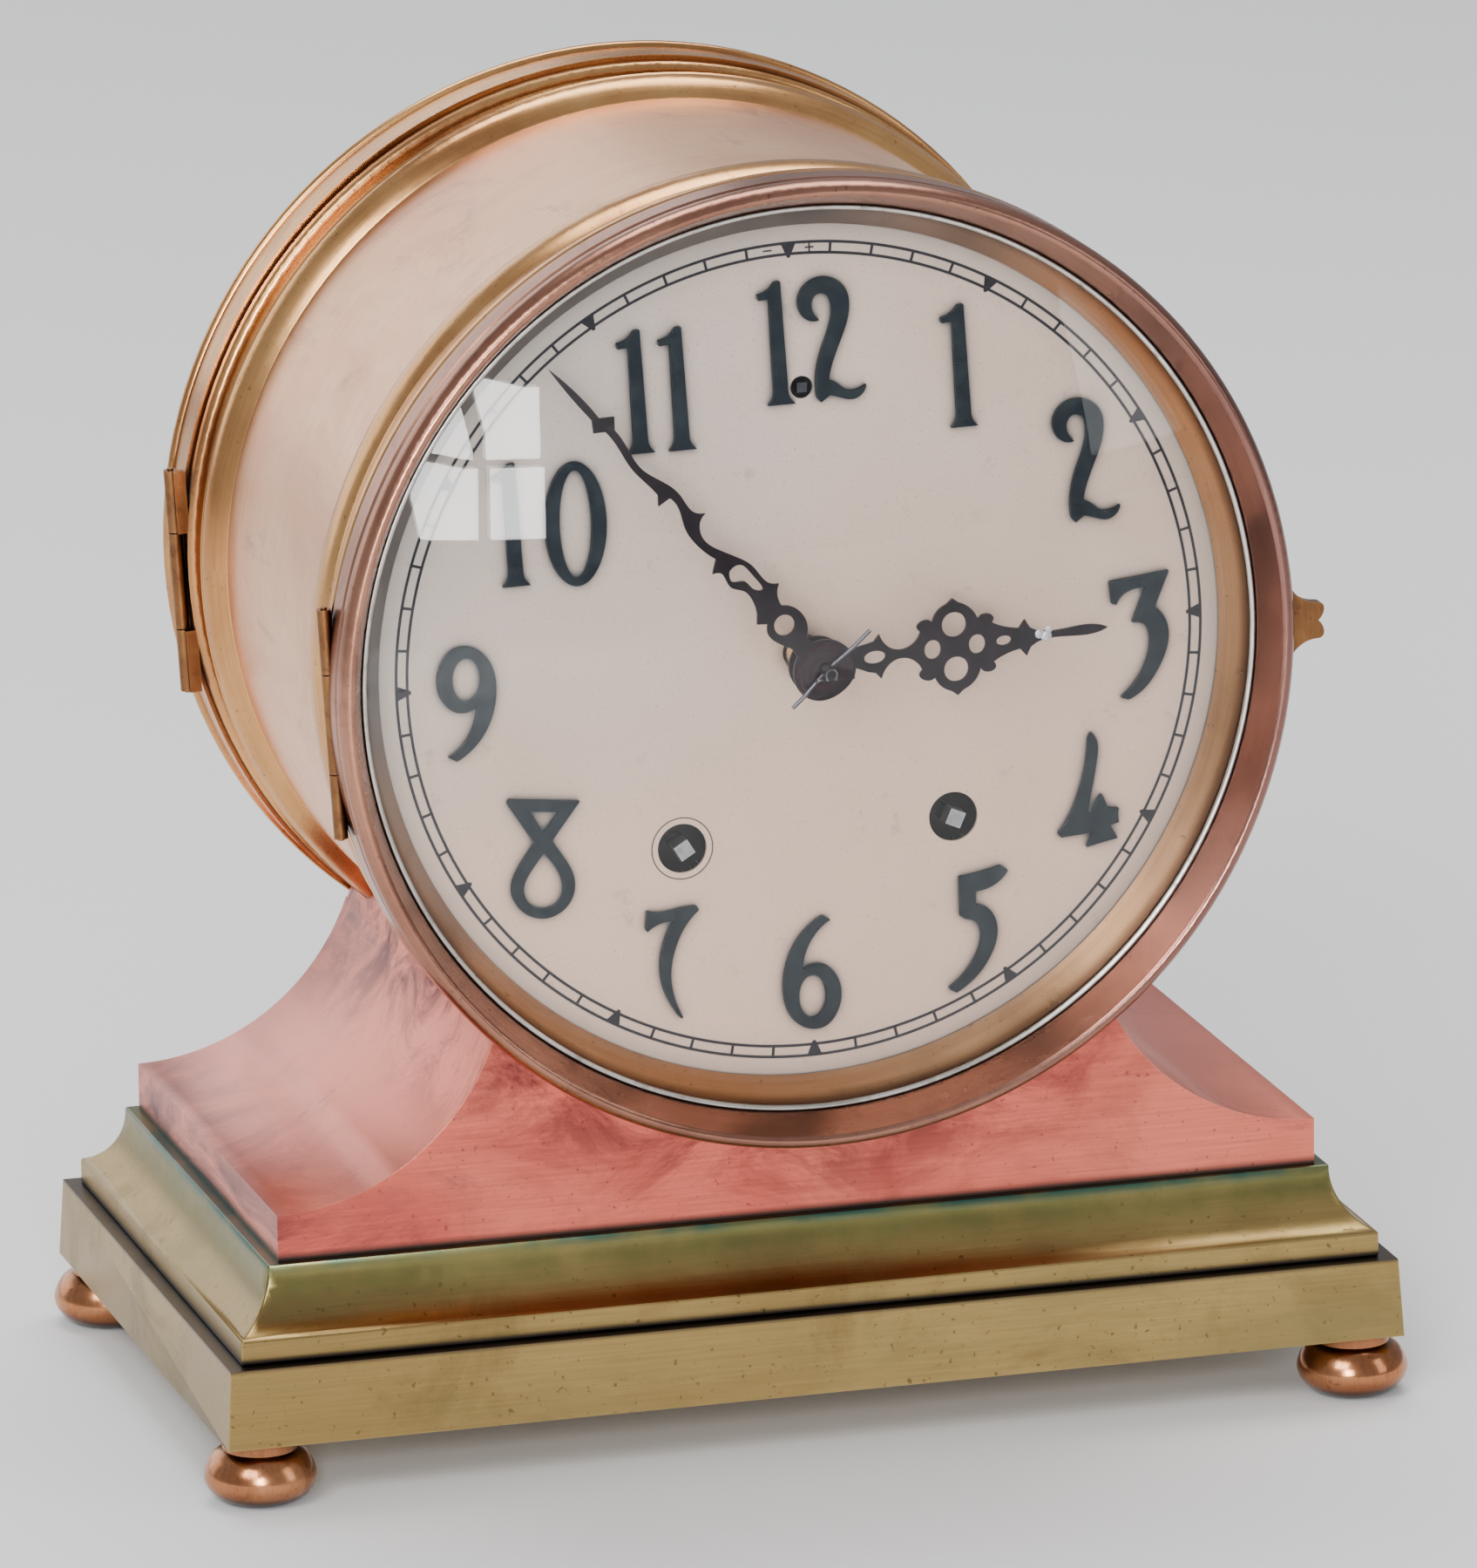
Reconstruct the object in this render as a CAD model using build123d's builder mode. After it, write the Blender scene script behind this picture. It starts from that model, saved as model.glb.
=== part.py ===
from build123d import *
import math
import os

os.makedirs("parts", exist_ok=True)

# A ship's deck clock: a drum case on a coved base, with a hinged glazed bezel, a hinged
# back and an eight-day movement that strikes a bell.
# Millimetres. +X to the right as the dial is read, +Y to the back, +Z up.

# ---- overall ----
foot_height = 16.0
foot_radius = 13.9
foot_inset = 10.3
slab_width, slab_depth = 302.4, 178.0
slab_taper = 1.2
slab_height = 19.8
fillet_width, fillet_depth, fillet_height = 292.4, 168.0, 6.2
moulding_width, moulding_depth, moulding_height = 273.2, 147.8, 15.7
plinth_width, plinth_depth, plinth_edge = 266.9, 142.9, 11.7
plinth_sweep = 58.7
sheet = 1.4

slab_z = foot_height
fillet_z = slab_z + slab_height
moulding_z = fillet_z + fillet_height
plinth_z = moulding_z + moulding_height
axis_z = 201.75

# ---- drum, measured from the middle of the base ----
glass_front = 107.0
foot_reach = slab_depth / 2 - foot_inset + foot_radius
mid_y = (glass_front - foot_reach) / 2
drum_radius = 113.0
band_radius = 120.85
collar_front = mid_y - 81.6
collar_flange = mid_y - 74.2
bezel_back = mid_y - 82.2
collar_back = mid_y + 69.6
door_front = mid_y + 70.8
door_ring_radius = 119.5
rear_seat_radius = 118.4

# ---- dial ----
dial_turn = 1.2
dial_face = mid_y - 76.5
dial_thick = 0.8
dial_radius = 107.5
backing_thick = 1.5
numeral_thick = 1.4
time_arbor = (37.3, -45.5)
strike_arbor = (-31.8, -46.2)
regulator = (2.2, 66.0)
hour_angle, minute_angle = 88.5, 321.2

# ---- hinges ----
hinge_angle = 266.8
hinge_length = 57.4
barrel_radius = 1.75
hinge_pin_radius = 0.8
running = 0.05
front_hinge_radius, front_hinge_y = 119.9, mid_y - 82.6
rear_hinge_radius, rear_hinge_y = 120.2, mid_y + 70.3

# ---- movement ----
plate_thick = 2.0
front_plate_y = dial_face + 9.2
back_plate_y = front_plate_y + 36.0
plate_width, plate_height = 140.0, 150.0
plate_middle = (2.0, -3.0)
pillar_spread = (130.0, 134.0)
great_teeth, great_module, great_pinion = 72, 0.9, 12
second_teeth, second_module, second_pinion = 60, 0.7, 10
centre_teeth, centre_module, centre_pinion = 72, 0.6, 9
third_teeth, third_module, third_pinion = 60, 0.5, 8
fourth_teeth, fourth_module, fourth_pinion = 64, 0.4, 8
pinwheel_teeth, pinwheel_module, pinwheel_pinion = 56, 0.6, 8
cannon_teeth, minute_teeth, motion_module = 12, 36, 0.5
minute_pinion, hour_teeth, hour_module = 10, 40, 0.48

case_axis = Axis((0, 0, axis_z), (0, 1, 0))
profile_plane = Plane.XY.offset(axis_z)


# ---- shared geometry ----
def front(y, turn=0.0):
    """A plane facing the front at depth y, its origin on the drum's axis."""
    a = math.radians(turn)
    return Plane(origin=(0, y, axis_z), x_dir=(math.cos(a), 0, math.sin(a)), z_dir=(0, -1, 0))


def works(y):
    """A front plane square to the dial, which sits slightly turned in the case."""
    return front(y, dial_turn)


def polar(radius, degrees, centre=(0.0, 0.0)):
    a = math.radians(degrees)
    return (centre[0] + radius * math.cos(a), centre[1] + radius * math.sin(a))


def bearing(a, b):
    return math.degrees(math.atan2(b[1] - a[1], b[0] - a[0]))


def meet(a, radius_a, b, radius_b, side):
    """The point at radius_a from a and radius_b from b, on the chosen side of the line a to b."""
    span = math.dist(a, b)
    along = (radius_a**2 - radius_b**2 + span**2) / (2 * span)
    off = side * math.sqrt(radius_a**2 - along**2)
    foot = polar(along, bearing(a, b), a)
    return polar(off, bearing(a, b) + 90, foot)


def outline(*strokes):
    """A closed line from strokes that share end points: two points are straight, more a curve."""
    for stroke in strokes:
        if len(stroke) == 2:
            Line(*stroke)
        else:
            Spline(*stroke)


def save(piece, label):
    piece.part.label = label
    export_step(piece.part, f"parts/{label}.step")


# ---- arbor places in the movement, in the dial's own axes ----
centre = (0.0, 0.0)
great_span = great_module * (great_teeth + great_pinion) / 2
second_span = second_module * (second_teeth + second_pinion) / 2
time_second = meet(time_arbor, great_span, centre, second_span, -1)
third = polar(centre_module * (centre_teeth + centre_pinion) / 2, 80)
fourth = polar(third_module * (third_teeth + third_pinion) / 2, 20, third)
escape = polar(fourth_module * (fourth_teeth + fourth_pinion) / 2, 100, fourth)
balance = (-2.0, 50.0)
pallet = (8.4, 47.0)
strike_second = polar(great_span, 95, strike_arbor)
pin_wheel = polar(second_span, 70, strike_second)
fly = polar(pinwheel_module * (pinwheel_teeth + pinwheel_pinion) / 2, 100, pin_wheel)
minute_post = polar(motion_module * (cannon_teeth + minute_teeth) / 2, 200)
bell_centre = (10.0, -15.0)
bell_radius = 42.0
hammer_angle = 150.0
hammer_head_radius = 4.0
hammer_place = polar(bell_radius + hammer_head_radius + 1.2, hammer_angle, bell_centre)
hammer_length = 30.0
hammer = polar(hammer_length, hammer_angle - 90, hammer_place)

arbor_places = [
    (centre, 1.5), (time_arbor, 3.0), (strike_arbor, 3.0), (time_second, 1.2), (third, 1.0), (fourth, 0.8),
    (escape, 0.7), (pallet, 0.7), (balance, 0.7), (strike_second, 1.2), (pin_wheel, 1.0), (fly, 0.7),
    (hammer, 1.2),
]


# ==== base ====
foot_x = slab_width / 2 - foot_inset
foot_y = slab_depth / 2 - foot_inset
stud_radius = 2.0


def bun_foot(x, y):
    """A squashed ball on a short neck, drilled from above for its stud."""
    with BuildPart() as piece:
        with BuildSketch(Plane(origin=(x, y, 0), x_dir=(1, 0, 0), z_dir=(0, -1, 0))):
            with BuildLine():
                Line((0, 0), (6.5, 0))
                Spline(
                    (6.5, 0), (11.4, 2.0), (foot_radius, 6.6), (12.2, 11.2), (9.2, 13.4),
                    tangents=((1, 0.12), (-1, 0.5)),
                )
                Line((9.2, 13.4), (9.2, foot_height))
                Line((9.2, foot_height), (0, foot_height))
                Line((0, foot_height), (0, 0))
            make_face()
        revolve(axis=Axis((x, y, 0), (0, 0, 1)))
        with Locations((x, y, foot_height)):
            Hole(stud_radius, depth=8)
    return piece


foot_places = [(sx * foot_x, mid_y + sy * foot_y) for sx in (-1, 1) for sy in (-1, 1)]
with BuildPart() as feet:
    for place in foot_places:
        add(bun_foot(*place).part)
save(feet, "feet")

with BuildPart() as foot_studs:
    with BuildSketch(Plane.XY.offset(foot_height - 8)):
        with Locations(*foot_places):
            Circle(stud_radius)
    extrude(amount=18)
save(foot_studs, "foot_studs")

slab_wall = 3.0
lug = 20.0
room_width = slab_width - 2 * (slab_taper + slab_wall)
room_depth = slab_depth - 2 * (slab_taper + slab_wall)
lug_places = [
    (sx * (room_width - lug) / 2, mid_y + sy * (room_depth - lug) / 2)
    for sx in (-1, 1)
    for sy in (-1, 1)
]
taper_angle = math.degrees(math.atan(slab_taper / slab_height))
with BuildPart() as base_slab:
    with BuildSketch(Plane.XY.offset(slab_z)):
        with Locations((0, mid_y)):
            Rectangle(slab_width, slab_depth)
    extrude(amount=slab_height, taper=taper_angle)
    with BuildSketch(Plane.XY.offset(slab_z)):
        with Locations((0, mid_y)):
            Rectangle(room_width, room_depth)
        with Locations(*lug_places):
            Rectangle(lug, lug, mode=Mode.SUBTRACT)
    extrude(amount=slab_height - slab_wall, mode=Mode.SUBTRACT)
    with BuildSketch(Plane.XY.offset(slab_z)):
        with Locations(*foot_places):
            Circle(stud_radius)
    extrude(amount=10, mode=Mode.SUBTRACT)
    with BuildSketch(Plane.XY.offset(fillet_z - slab_wall)):
        with Locations((0, mid_y)):
            Rectangle(200, 80)
    extrude(amount=slab_wall, mode=Mode.SUBTRACT)
save(base_slab, "base_slab")

cover_gap = 0.3
with BuildPart() as bottom_cover:
    with BuildSketch(Plane.XY.offset(slab_z + 0.5)):
        with Locations((0, mid_y)):
            Rectangle(room_width - 2 * cover_gap, room_depth - 2 * cover_gap)
        with Locations(*lug_places):
            Rectangle(lug + 2 * cover_gap, lug + 2 * cover_gap, mode=Mode.SUBTRACT)
    extrude(amount=1.5)
save(bottom_cover, "bottom_cover")


def cove(half, half_top):
    """Half of the moulding's section: a flat fillet below, a hollow sweeping up to a narrow top."""
    Line((-half, fillet_z), (half, fillet_z))
    Line((half, fillet_z), (half, moulding_z))
    Spline(
        (half, moulding_z),
        (half_top + 4.0, moulding_z + 4.0),
        (half_top + 0.9, moulding_z + 9.5),
        (half_top, plinth_z),
    )
    Line((half_top, plinth_z), (-half_top, plinth_z))
    Spline(
        (-half_top, plinth_z),
        (-half_top - 0.9, moulding_z + 9.5),
        (-half_top - 4.0, moulding_z + 4.0),
        (-half, moulding_z),
    )
    Line((-half, moulding_z), (-half, fillet_z))


with BuildPart() as base_moulding:
    with BuildSketch(Plane(origin=(0, mid_y, 0), x_dir=(1, 0, 0), z_dir=(0, -1, 0))):
        with BuildLine():
            cove(fillet_width / 2, moulding_width / 2)
        make_face()
    extrude(amount=fillet_depth, both=True)
    with BuildSketch(Plane(origin=(0, mid_y, 0), x_dir=(0, 1, 0), z_dir=(1, 0, 0))):
        with BuildLine():
            cove(fillet_depth / 2, moulding_depth / 2)
        make_face()
    extrude(amount=fillet_width, both=True, mode=Mode.INTERSECT)
    with BuildSketch(Plane.XY.offset(fillet_z)):
        with Locations((0, mid_y)):
            Rectangle(moulding_width - 10, moulding_depth - 10)
    extrude(amount=plinth_z - fillet_z - 2.5, mode=Mode.SUBTRACT)
    with BuildSketch(Plane.XY.offset(fillet_z)):
        with Locations((0, mid_y)):
            Rectangle(200, 80)
    extrude(amount=plinth_z - fillet_z, mode=Mode.SUBTRACT)
save(base_moulding, "base_moulding")

# ==== hinges ====
def hinge_plane(radius, y, along=0.0):
    """On a hinge's axis: local x points out from the drum, y to the front, z up along the pin."""
    a = math.radians(90 - hinge_angle)
    out = (math.cos(a), 0, math.sin(a))
    up = (math.sin(a), 0, -math.cos(a))
    place = (radius * out[0] + along * up[0], y, axis_z + radius * out[2] + along * up[2])
    return Plane(origin=place, x_dir=out, z_dir=up)


knuckle_split = 12.5
knuckle_gap = 0.2
hinge_half = hinge_length / 2
middle_span = (knuckle_gap - knuckle_split, knuckle_split - knuckle_gap)
outer_spans = ((-hinge_half, -knuckle_split - knuckle_gap), (knuckle_split + knuckle_gap, hinge_half))
whole_span = (-hinge_half - 0.5, hinge_half + 0.5)
middle_room = (-knuckle_split - knuckle_gap, knuckle_split + knuckle_gap)


def hinge_bar(radius, y, spans, bar_radius):
    """Round bars along a hinge's axis."""
    with BuildPart() as piece:
        for low, high in spans:
            with BuildSketch(hinge_plane(radius, y, low)):
                Circle(bar_radius)
            extrude(amount=high - low)
    return piece


def barrel_seat(radius, y, fixed_spans, free_spans):
    """What a ring gives up to the hinge barrel: a close seat for its own knuckles, room for the others."""
    with BuildPart() as piece:
        add(hinge_bar(radius, y, fixed_spans, barrel_radius).part)
        add(hinge_bar(radius, y, free_spans, barrel_radius + 0.25).part)
    return piece


def knuckles(radius, y, spans, bore, leaf=None):
    """Hinge knuckles with their pin bore, and a leaf from one depth to another scribed to its ring."""
    with BuildPart() as piece:
        for low, high in spans:
            with BuildSketch(hinge_plane(radius, y, low)):
                Circle(barrel_radius)
                if leaf:
                    with Locations((-1.5, (leaf[0] + leaf[1]) / 2)):
                        Rectangle(3.0, leaf[1] - leaf[0])
            extrude(amount=high - low)
        if leaf:
            with BuildSketch(front(mid_y)):
                Circle(leaf[2])
            extrude(amount=150, both=True, mode=Mode.SUBTRACT)
        add(hinge_bar(radius, y, (whole_span,), bore).part, mode=Mode.SUBTRACT)
    return piece


# ==== drum, collars and plinth ====
drum_back = mid_y + 68.2
with BuildPart() as drum_shell:
    with BuildSketch(front(drum_back)):
        Circle(drum_radius)
        Circle(drum_radius - sheet, mode=Mode.SUBTRACT)
    extrude(amount=drum_back - collar_flange - 2.0)
save(drum_shell, "drum_shell")

with BuildPart() as front_collar:
    with BuildSketch(profile_plane):
        with BuildLine():
            outline(
                [(103.5, collar_flange), (114.6, collar_flange)],
                [(114.6, collar_flange), (114.6, collar_front)],
                [(114.6, collar_front), (120.4, collar_front)],
                [(120.4, collar_front), (band_radius, mid_y - 81.1)],
                [(band_radius, mid_y - 81.1), (band_radius, mid_y - 79.4)],
                [(band_radius, mid_y - 79.4), (120.2, mid_y - 78.8)],
                [(120.2, mid_y - 78.8), (118.4, mid_y - 74.5), (117.0, mid_y - 69.5), (116.7, mid_y - 65.4)],
                [(116.7, mid_y - 65.4), (116.9, mid_y - 64.7)],
                [(116.9, mid_y - 64.7), (118.4, mid_y - 61.0), (118.2, mid_y - 55.5), (115.4, mid_y - 50.6),
                 (drum_radius, mid_y - 49.0)],
                [(drum_radius, mid_y - 49.0), (drum_radius, collar_flange + 2.0)],
                [(drum_radius, collar_flange + 2.0), (103.5, collar_flange + 2.0)],
                [(103.5, collar_flange + 2.0), (103.5, collar_flange)],
            )
        make_face()
    revolve(axis=case_axis)
    outer_seat = barrel_seat(front_hinge_radius, front_hinge_y, outer_spans, (middle_room,)).part
    add(outer_seat, mode=Mode.SUBTRACT)
save(front_collar, "front_collar")

with BuildPart() as rear_collar:
    with BuildSketch(profile_plane):
        with BuildLine():
            outline(
                [(drum_radius, drum_back), (drum_radius, mid_y + 47.4)],
                [(drum_radius, mid_y + 47.4), (115.6, mid_y + 49.6), (117.5, mid_y + 52.6),
                 (117.8, mid_y + 54.6)],
                [(117.8, mid_y + 54.6), (118.1, mid_y + 55.0)],
                [(118.1, mid_y + 55.0), (117.5, mid_y + 55.5)],
                [(117.5, mid_y + 55.5), (116.0, mid_y + 58.5), (115.5, mid_y + 62.0), (116.1, mid_y + 65.8)],
                [(116.1, mid_y + 65.8), (117.6, mid_y + 66.1), (rear_seat_radius, mid_y + 67.0)],
                [(rear_seat_radius, mid_y + 67.0), (rear_seat_radius, mid_y + 69.0)],
                [(rear_seat_radius, mid_y + 69.0), (117.6, collar_back)],
                [(117.6, collar_back), (109.0, collar_back)],
                [(109.0, collar_back), (109.0, drum_back)],
                [(109.0, drum_back), (drum_radius, drum_back)],
            )
        make_face()
    revolve(axis=case_axis)
save(rear_collar, "rear_collar")


plinth_front = Plane(origin=(0, mid_y, 0), x_dir=(1, 0, 0), z_dir=(0, -1, 0))
plinth_top = 125.0
sweep_places = [(side * plinth_width / 2, plinth_z + plinth_edge + plinth_sweep) for side in (-1, 1)]


def saddle(inset):
    """The plinth's outline: a low block whose ends sweep up in quarter hollows to the drum."""
    with Locations((0, (plinth_z + plinth_top) / 2)):
        Rectangle(plinth_width - 2 * inset, plinth_top - plinth_z)
    with Locations(*sweep_places):
        Circle(plinth_sweep + inset, mode=Mode.SUBTRACT)


with BuildPart() as plinth:
    with BuildSketch(plinth_front):
        saddle(0)
    extrude(amount=plinth_depth / 2, both=True)
    with BuildSketch(plinth_front):
        saddle(sheet)
    extrude(amount=plinth_depth / 2 - sheet, both=True, mode=Mode.SUBTRACT)
    with BuildSketch(front(mid_y)):
        Circle(drum_radius)
    extrude(amount=plinth_depth, both=True, mode=Mode.SUBTRACT)
    add(front_collar.part, mode=Mode.SUBTRACT)
    add(rear_collar.part, mode=Mode.SUBTRACT)
    with BuildSketch(front(mid_y + plinth_depth)):
        Circle(door_ring_radius + 2.0)
    extrude(amount=mid_y + plinth_depth - door_front + 0.6, mode=Mode.SUBTRACT)
save(plinth, "plinth")

# ==== dial and numerals ====
arbor_hole = 4.7
key_hole = 6.2
regulator_hole = 2.8


def dial_holes(extra):
    Circle(arbor_hole + extra, mode=Mode.SUBTRACT)
    with Locations(time_arbor, strike_arbor):
        Circle(key_hole + extra, mode=Mode.SUBTRACT)
    with Locations(regulator):
        Circle(regulator_hole + extra, mode=Mode.SUBTRACT)


screw_radius = 1.5
dial_foot_places = [polar(80.0, angle) for angle in (30, 150, 270)]
dial_foot_radius = 1.0
backing_screw_places = [polar(109.0, angle) for angle in (0, 90, 180, 270)]
backing_face = dial_face + dial_thick

with BuildPart() as dial:
    with BuildSketch(works(backing_face)):
        Circle(dial_radius)
        dial_holes(0)
    extrude(amount=dial_thick)
    with BuildSketch(works(backing_face + backing_thick + 1.0)):
        with Locations(*dial_foot_places):
            Circle(dial_foot_radius)
    extrude(amount=backing_thick + 1.0)
save(dial, "dial")

movement_posts = [
    (plate_middle[0] + sx * pillar_spread[0] / 2, plate_middle[1] + sz * (pillar_spread[1] / 2 - 16))
    for sx in (-1, 1)
    for sz in (-1, 1)
]
with BuildPart() as dial_backing:
    with BuildSketch(works(backing_face + backing_thick)):
        Circle(111.0)
        dial_holes(0.6)
        with Locations(*dial_foot_places):
            Circle(dial_foot_radius, mode=Mode.SUBTRACT)
        with Locations(*backing_screw_places):
            Circle(screw_radius, mode=Mode.SUBTRACT)
    extrude(amount=backing_thick)
save(dial_backing, "dial_backing")

with BuildPart() as backing_screws:
    with BuildSketch(works(collar_flange)):
        with Locations(*backing_screw_places):
            Circle(screw_radius)
    extrude(amount=collar_flange - backing_face)
    with BuildSketch(works(backing_face)):
        with Locations(*backing_screw_places):
            Circle(1.4)
    extrude(amount=1.2)
save(backing_screws, "backing_screws")


# Each digit is drawn upright from its own lower left corner, about thirty high.
def digit_1():
    outline(
        [(0, 0), (7, 0)],
        [(7, 0), (5.7, 1.3), (5.1, 3.8)],
        [(5.1, 3.8), (3.9, 30.5)],
        [(3.9, 30.5), (2.4, 30.4)],
        [(2.4, 30.4), (0.9, 28.6), (-1.9, 27.6)],
        [(-1.9, 27.6), (-1.7, 26.3)],
        [(-1.7, 26.3), (1.0, 26.5)],
        [(1.0, 26.5), (1.5, 4.0)],
        [(1.5, 4.0), (1.1, 1.4), (0, 0)],
    )


def digit_2():
    outline(
        [(6.0, 20.5), (2.5, 21.0), (0.6, 25.0), (2.5, 29.3), (7.5, 31.0), (12.5, 28.0), (13.5, 23.0),
         (11.5, 16.0), (9.0, 10.0), (7.8, 5.2)],
        [(7.8, 5.2), (10.0, 4.3), (12.5, 2.4), (15.0, 2.4), (17.2, 3.4)],
        [(17.2, 3.4), (16.5, 1.6), (14.0, 0.1), (10.5, 0.8), (8.0, 1.6)],
        [(8.0, 1.6), (5.7, 0.0)],
        [(5.7, 0.0), (4.8, 1.2)],
        [(4.8, 1.2), (4.6, 6.0), (6.2, 13.0), (8.5, 19.0), (9.0, 24.0), (7.8, 26.6), (5.6, 27.0),
         (4.1, 25.0), (4.5, 22.3), (6.0, 20.5)],
    )


def digit_3():
    outline(
        [(0, 30.3), (15.2, 31.8)],
        [(15.2, 31.8), (11.4, 23.0)],
        [(11.4, 23.0), (13.4, 20.9), (14.7, 17.5), (14.5, 13.5), (12.0, 7.5), (8.0, 2.5), (4.0, 0.2)],
        [(4.0, 0.2), (2.3, 0.9)],
        [(2.3, 0.9), (5.2, 3.6), (8.5, 8.5), (10.0, 14.5), (9.3, 18.0), (5.6, 19.6)],
        [(5.6, 19.6), (9.2, 28.2)],
        [(9.2, 28.2), (5.6, 27.9), (2.8, 26.4), (1.6, 24.4)],
        [(1.6, 24.4), (0.5, 24.8)],
        [(0.5, 24.8), (0, 30.3)],
    )


def digit_4():
    outline(
        [(9.5, 28.9), (10.9, 26.5), (10.8, 22.5), (9.2, 14.5), (8.0, 8.6)],
        [(8.0, 8.6), (9.3, 8.3)],
        [(9.3, 8.3), (10.2, 11.2), (11.8, 13.0)],
        [(11.8, 13.0), (13.2, 9.3)],
        [(13.2, 9.3), (16.0, 9.0)],
        [(16.0, 9.0), (15.7, 7.2), (16.0, 5.5)],
        [(16.0, 5.5), (13.6, 5.0)],
        [(13.6, 5.0), (15.5, 1.5)],
        [(15.5, 1.5), (12.0, 0.9), (7.5, 0.0)],
        [(7.5, 0.0), (9.0, 3.6)],
        [(9.0, 3.6), (1.0, 3.1)],
        [(1.0, 3.1), (0.3, 4.2)],
        [(0.3, 4.2), (2.7, 7.2), (5.5, 13.0), (7.5, 19.5), (8.6, 27.4)],
        [(8.6, 27.4), (9.5, 28.9)],
    )


def digit_5():
    outline(
        [(3.4, 29.3), (10.7, 30.3), (14.0, 31.1)],
        [(14.0, 31.1), (15.9, 29.8)],
        [(15.9, 29.8), (13.7, 27.3), (10.2, 25.6), (7.5, 25.3)],
        [(7.5, 25.3), (7.4, 21.8)],
        [(7.4, 21.8), (10.4, 20.7), (12.5, 17.3), (12.7, 13.8), (10.7, 8.3), (6.7, 3.3), (1.7, 0)],
        [(1.7, 0), (0, 1.3)],
        [(0, 1.3), (2.9, 3.5), (6.2, 7.3), (8.4, 12.3), (8.3, 15.8), (6.9, 17.8), (4.7, 18.4)],
        [(4.7, 18.4), (3.4, 19.4)],
        [(3.4, 19.4), (3.4, 29.3)],
    )


def digit_6():
    outline(
        [(10.5, 28.5), (7.0, 26.3), (3.0, 21.8), (0.4, 15.3), (0, 9.3), (2.0, 3.3), (6.2, 0.3), (10.2, 0.5),
         (13.5, 4.0), (14.6, 9.3), (13.2, 13.6), (10.0, 16.3), (7.2, 16.4), (5.0, 15.3)],
        [(5.0, 15.3), (5.4, 18.4), (7.1, 22.3), (9.5, 25.3), (12.4, 27.3)],
        [(12.4, 27.3), (10.5, 28.5)],
    )


def digit_7():
    outline(
        [(0.5, 28.0), (4.0, 27.3), (9.0, 27.9), (13.0, 28.0)],
        [(13.0, 28.0), (13.6, 27.1)],
        [(13.6, 27.1), (10.0, 23.3), (7.1, 17.5), (5.9, 11.5), (6.6, 5.5), (8.7, 0.1)],
        [(8.7, 0.1), (8.0, 0.2)],
        [(8.0, 0.2), (5.0, 5.2), (3.3, 11.5), (3.9, 18.0), (5.6, 22.5), (7.0, 24.9)],
        [(7.0, 24.9), (3.6, 24.6), (0.3, 22.8)],
        [(0.3, 22.8), (0, 23.6)],
        [(0, 23.6), (0.5, 28.0)],
    )


def digit_8():
    outline(
        [(0.8, 30.8), (18.5, 28.6)],
        [(18.5, 28.6), (11.2, 19.4)],
        [(11.2, 19.4), (14.4, 14.3), (16.5, 8.8), (15.0, 3.3), (9.0, 0.1), (2.7, 2.8), (0.6, 7.8),
         (2.9, 14.0), (6.8, 19.2)],
        [(6.8, 19.2), (0.3, 29.8)],
        [(0.3, 29.8), (0.8, 30.8)],
    )


def hole_8_top():
    outline([(6.0, 27.3), (13.2, 26.4)], [(13.2, 26.4), (9.1, 21.6)], [(9.1, 21.6), (6.0, 27.3)])


def hole_8_bottom():
    outline(
        [(9.0, 16.6), (12.0, 12.4), (13.5, 7.8), (12.4, 4.0), (9.0, 2.5), (5.2, 3.9), (3.6, 7.8),
         (5.5, 12.2), (9.0, 16.6)],
    )


digits = {1: digit_1, 2: digit_2, 3: digit_3, 4: digit_4, 5: digit_5, 6: digit_6, 7: digit_7, 8: digit_8}
digit_places = [
    (1, -6.6, 62.4), (2, 1.0, 62.0),
    (1, 39.4, 52.4), (2, 64.6, 25.6), (3, 78.6, -20.6), (4, 63.4, -56.6), (5, 34.6, -90.0),
    (6, -7.6, -95.2), (7, -42.0, -88.8), (8, -76.0, -59.8),
    (1, -74.6, 24.0), (1, -42.2, 53.8), (1, -31.8, 53.6),
]
nine_corner = (-77.4, 10.4)
zero_middle = (-55.9, 37.9)
loop_middle = (7.3, 8.4)


def loop_hole(x, z):
    with Locations((x, z)):
        Ellipse(3.5, 5.4, mode=Mode.SUBTRACT)


with BuildPart() as numerals:
    with BuildSketch(works(dial_face)):
        for digit, x, z in digit_places:
            with BuildLine(Location((x, z, 0))):
                digits[digit]()
            make_face()
            if digit == 6:
                loop_hole(x + loop_middle[0], z + loop_middle[1])
            if digit == 8:
                for hole in (hole_8_top, hole_8_bottom):
                    with BuildLine(Location((x, z, 0))):
                        hole()
                    make_face(mode=Mode.SUBTRACT)
        with BuildLine(Location((*nine_corner, 0), (0, 0, 180))):
            digit_6()
        make_face()
        loop_hole(nine_corner[0] - loop_middle[0], nine_corner[1] - loop_middle[1])
        with Locations(zero_middle):
            Ellipse(7.7, 15.4)
            Ellipse(4.1, 13.4, mode=Mode.SUBTRACT)
        with Locations(regulator):
            Circle(regulator_hole, mode=Mode.SUBTRACT)
    extrude(amount=numeral_thick)
save(numerals, "hour_numerals")

# ==== doors ====
def ring(label, *strokes, seat=None):
    """A turned ring about the drum's axis, from its section, less any seat cut for a hinge."""
    with BuildPart() as piece:
        with BuildSketch(profile_plane):
            with BuildLine():
                outline(*strokes)
            make_face()
        revolve(axis=case_axis)
        if seat:
            add(seat, mode=Mode.SUBTRACT)
    save(piece, label)


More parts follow.
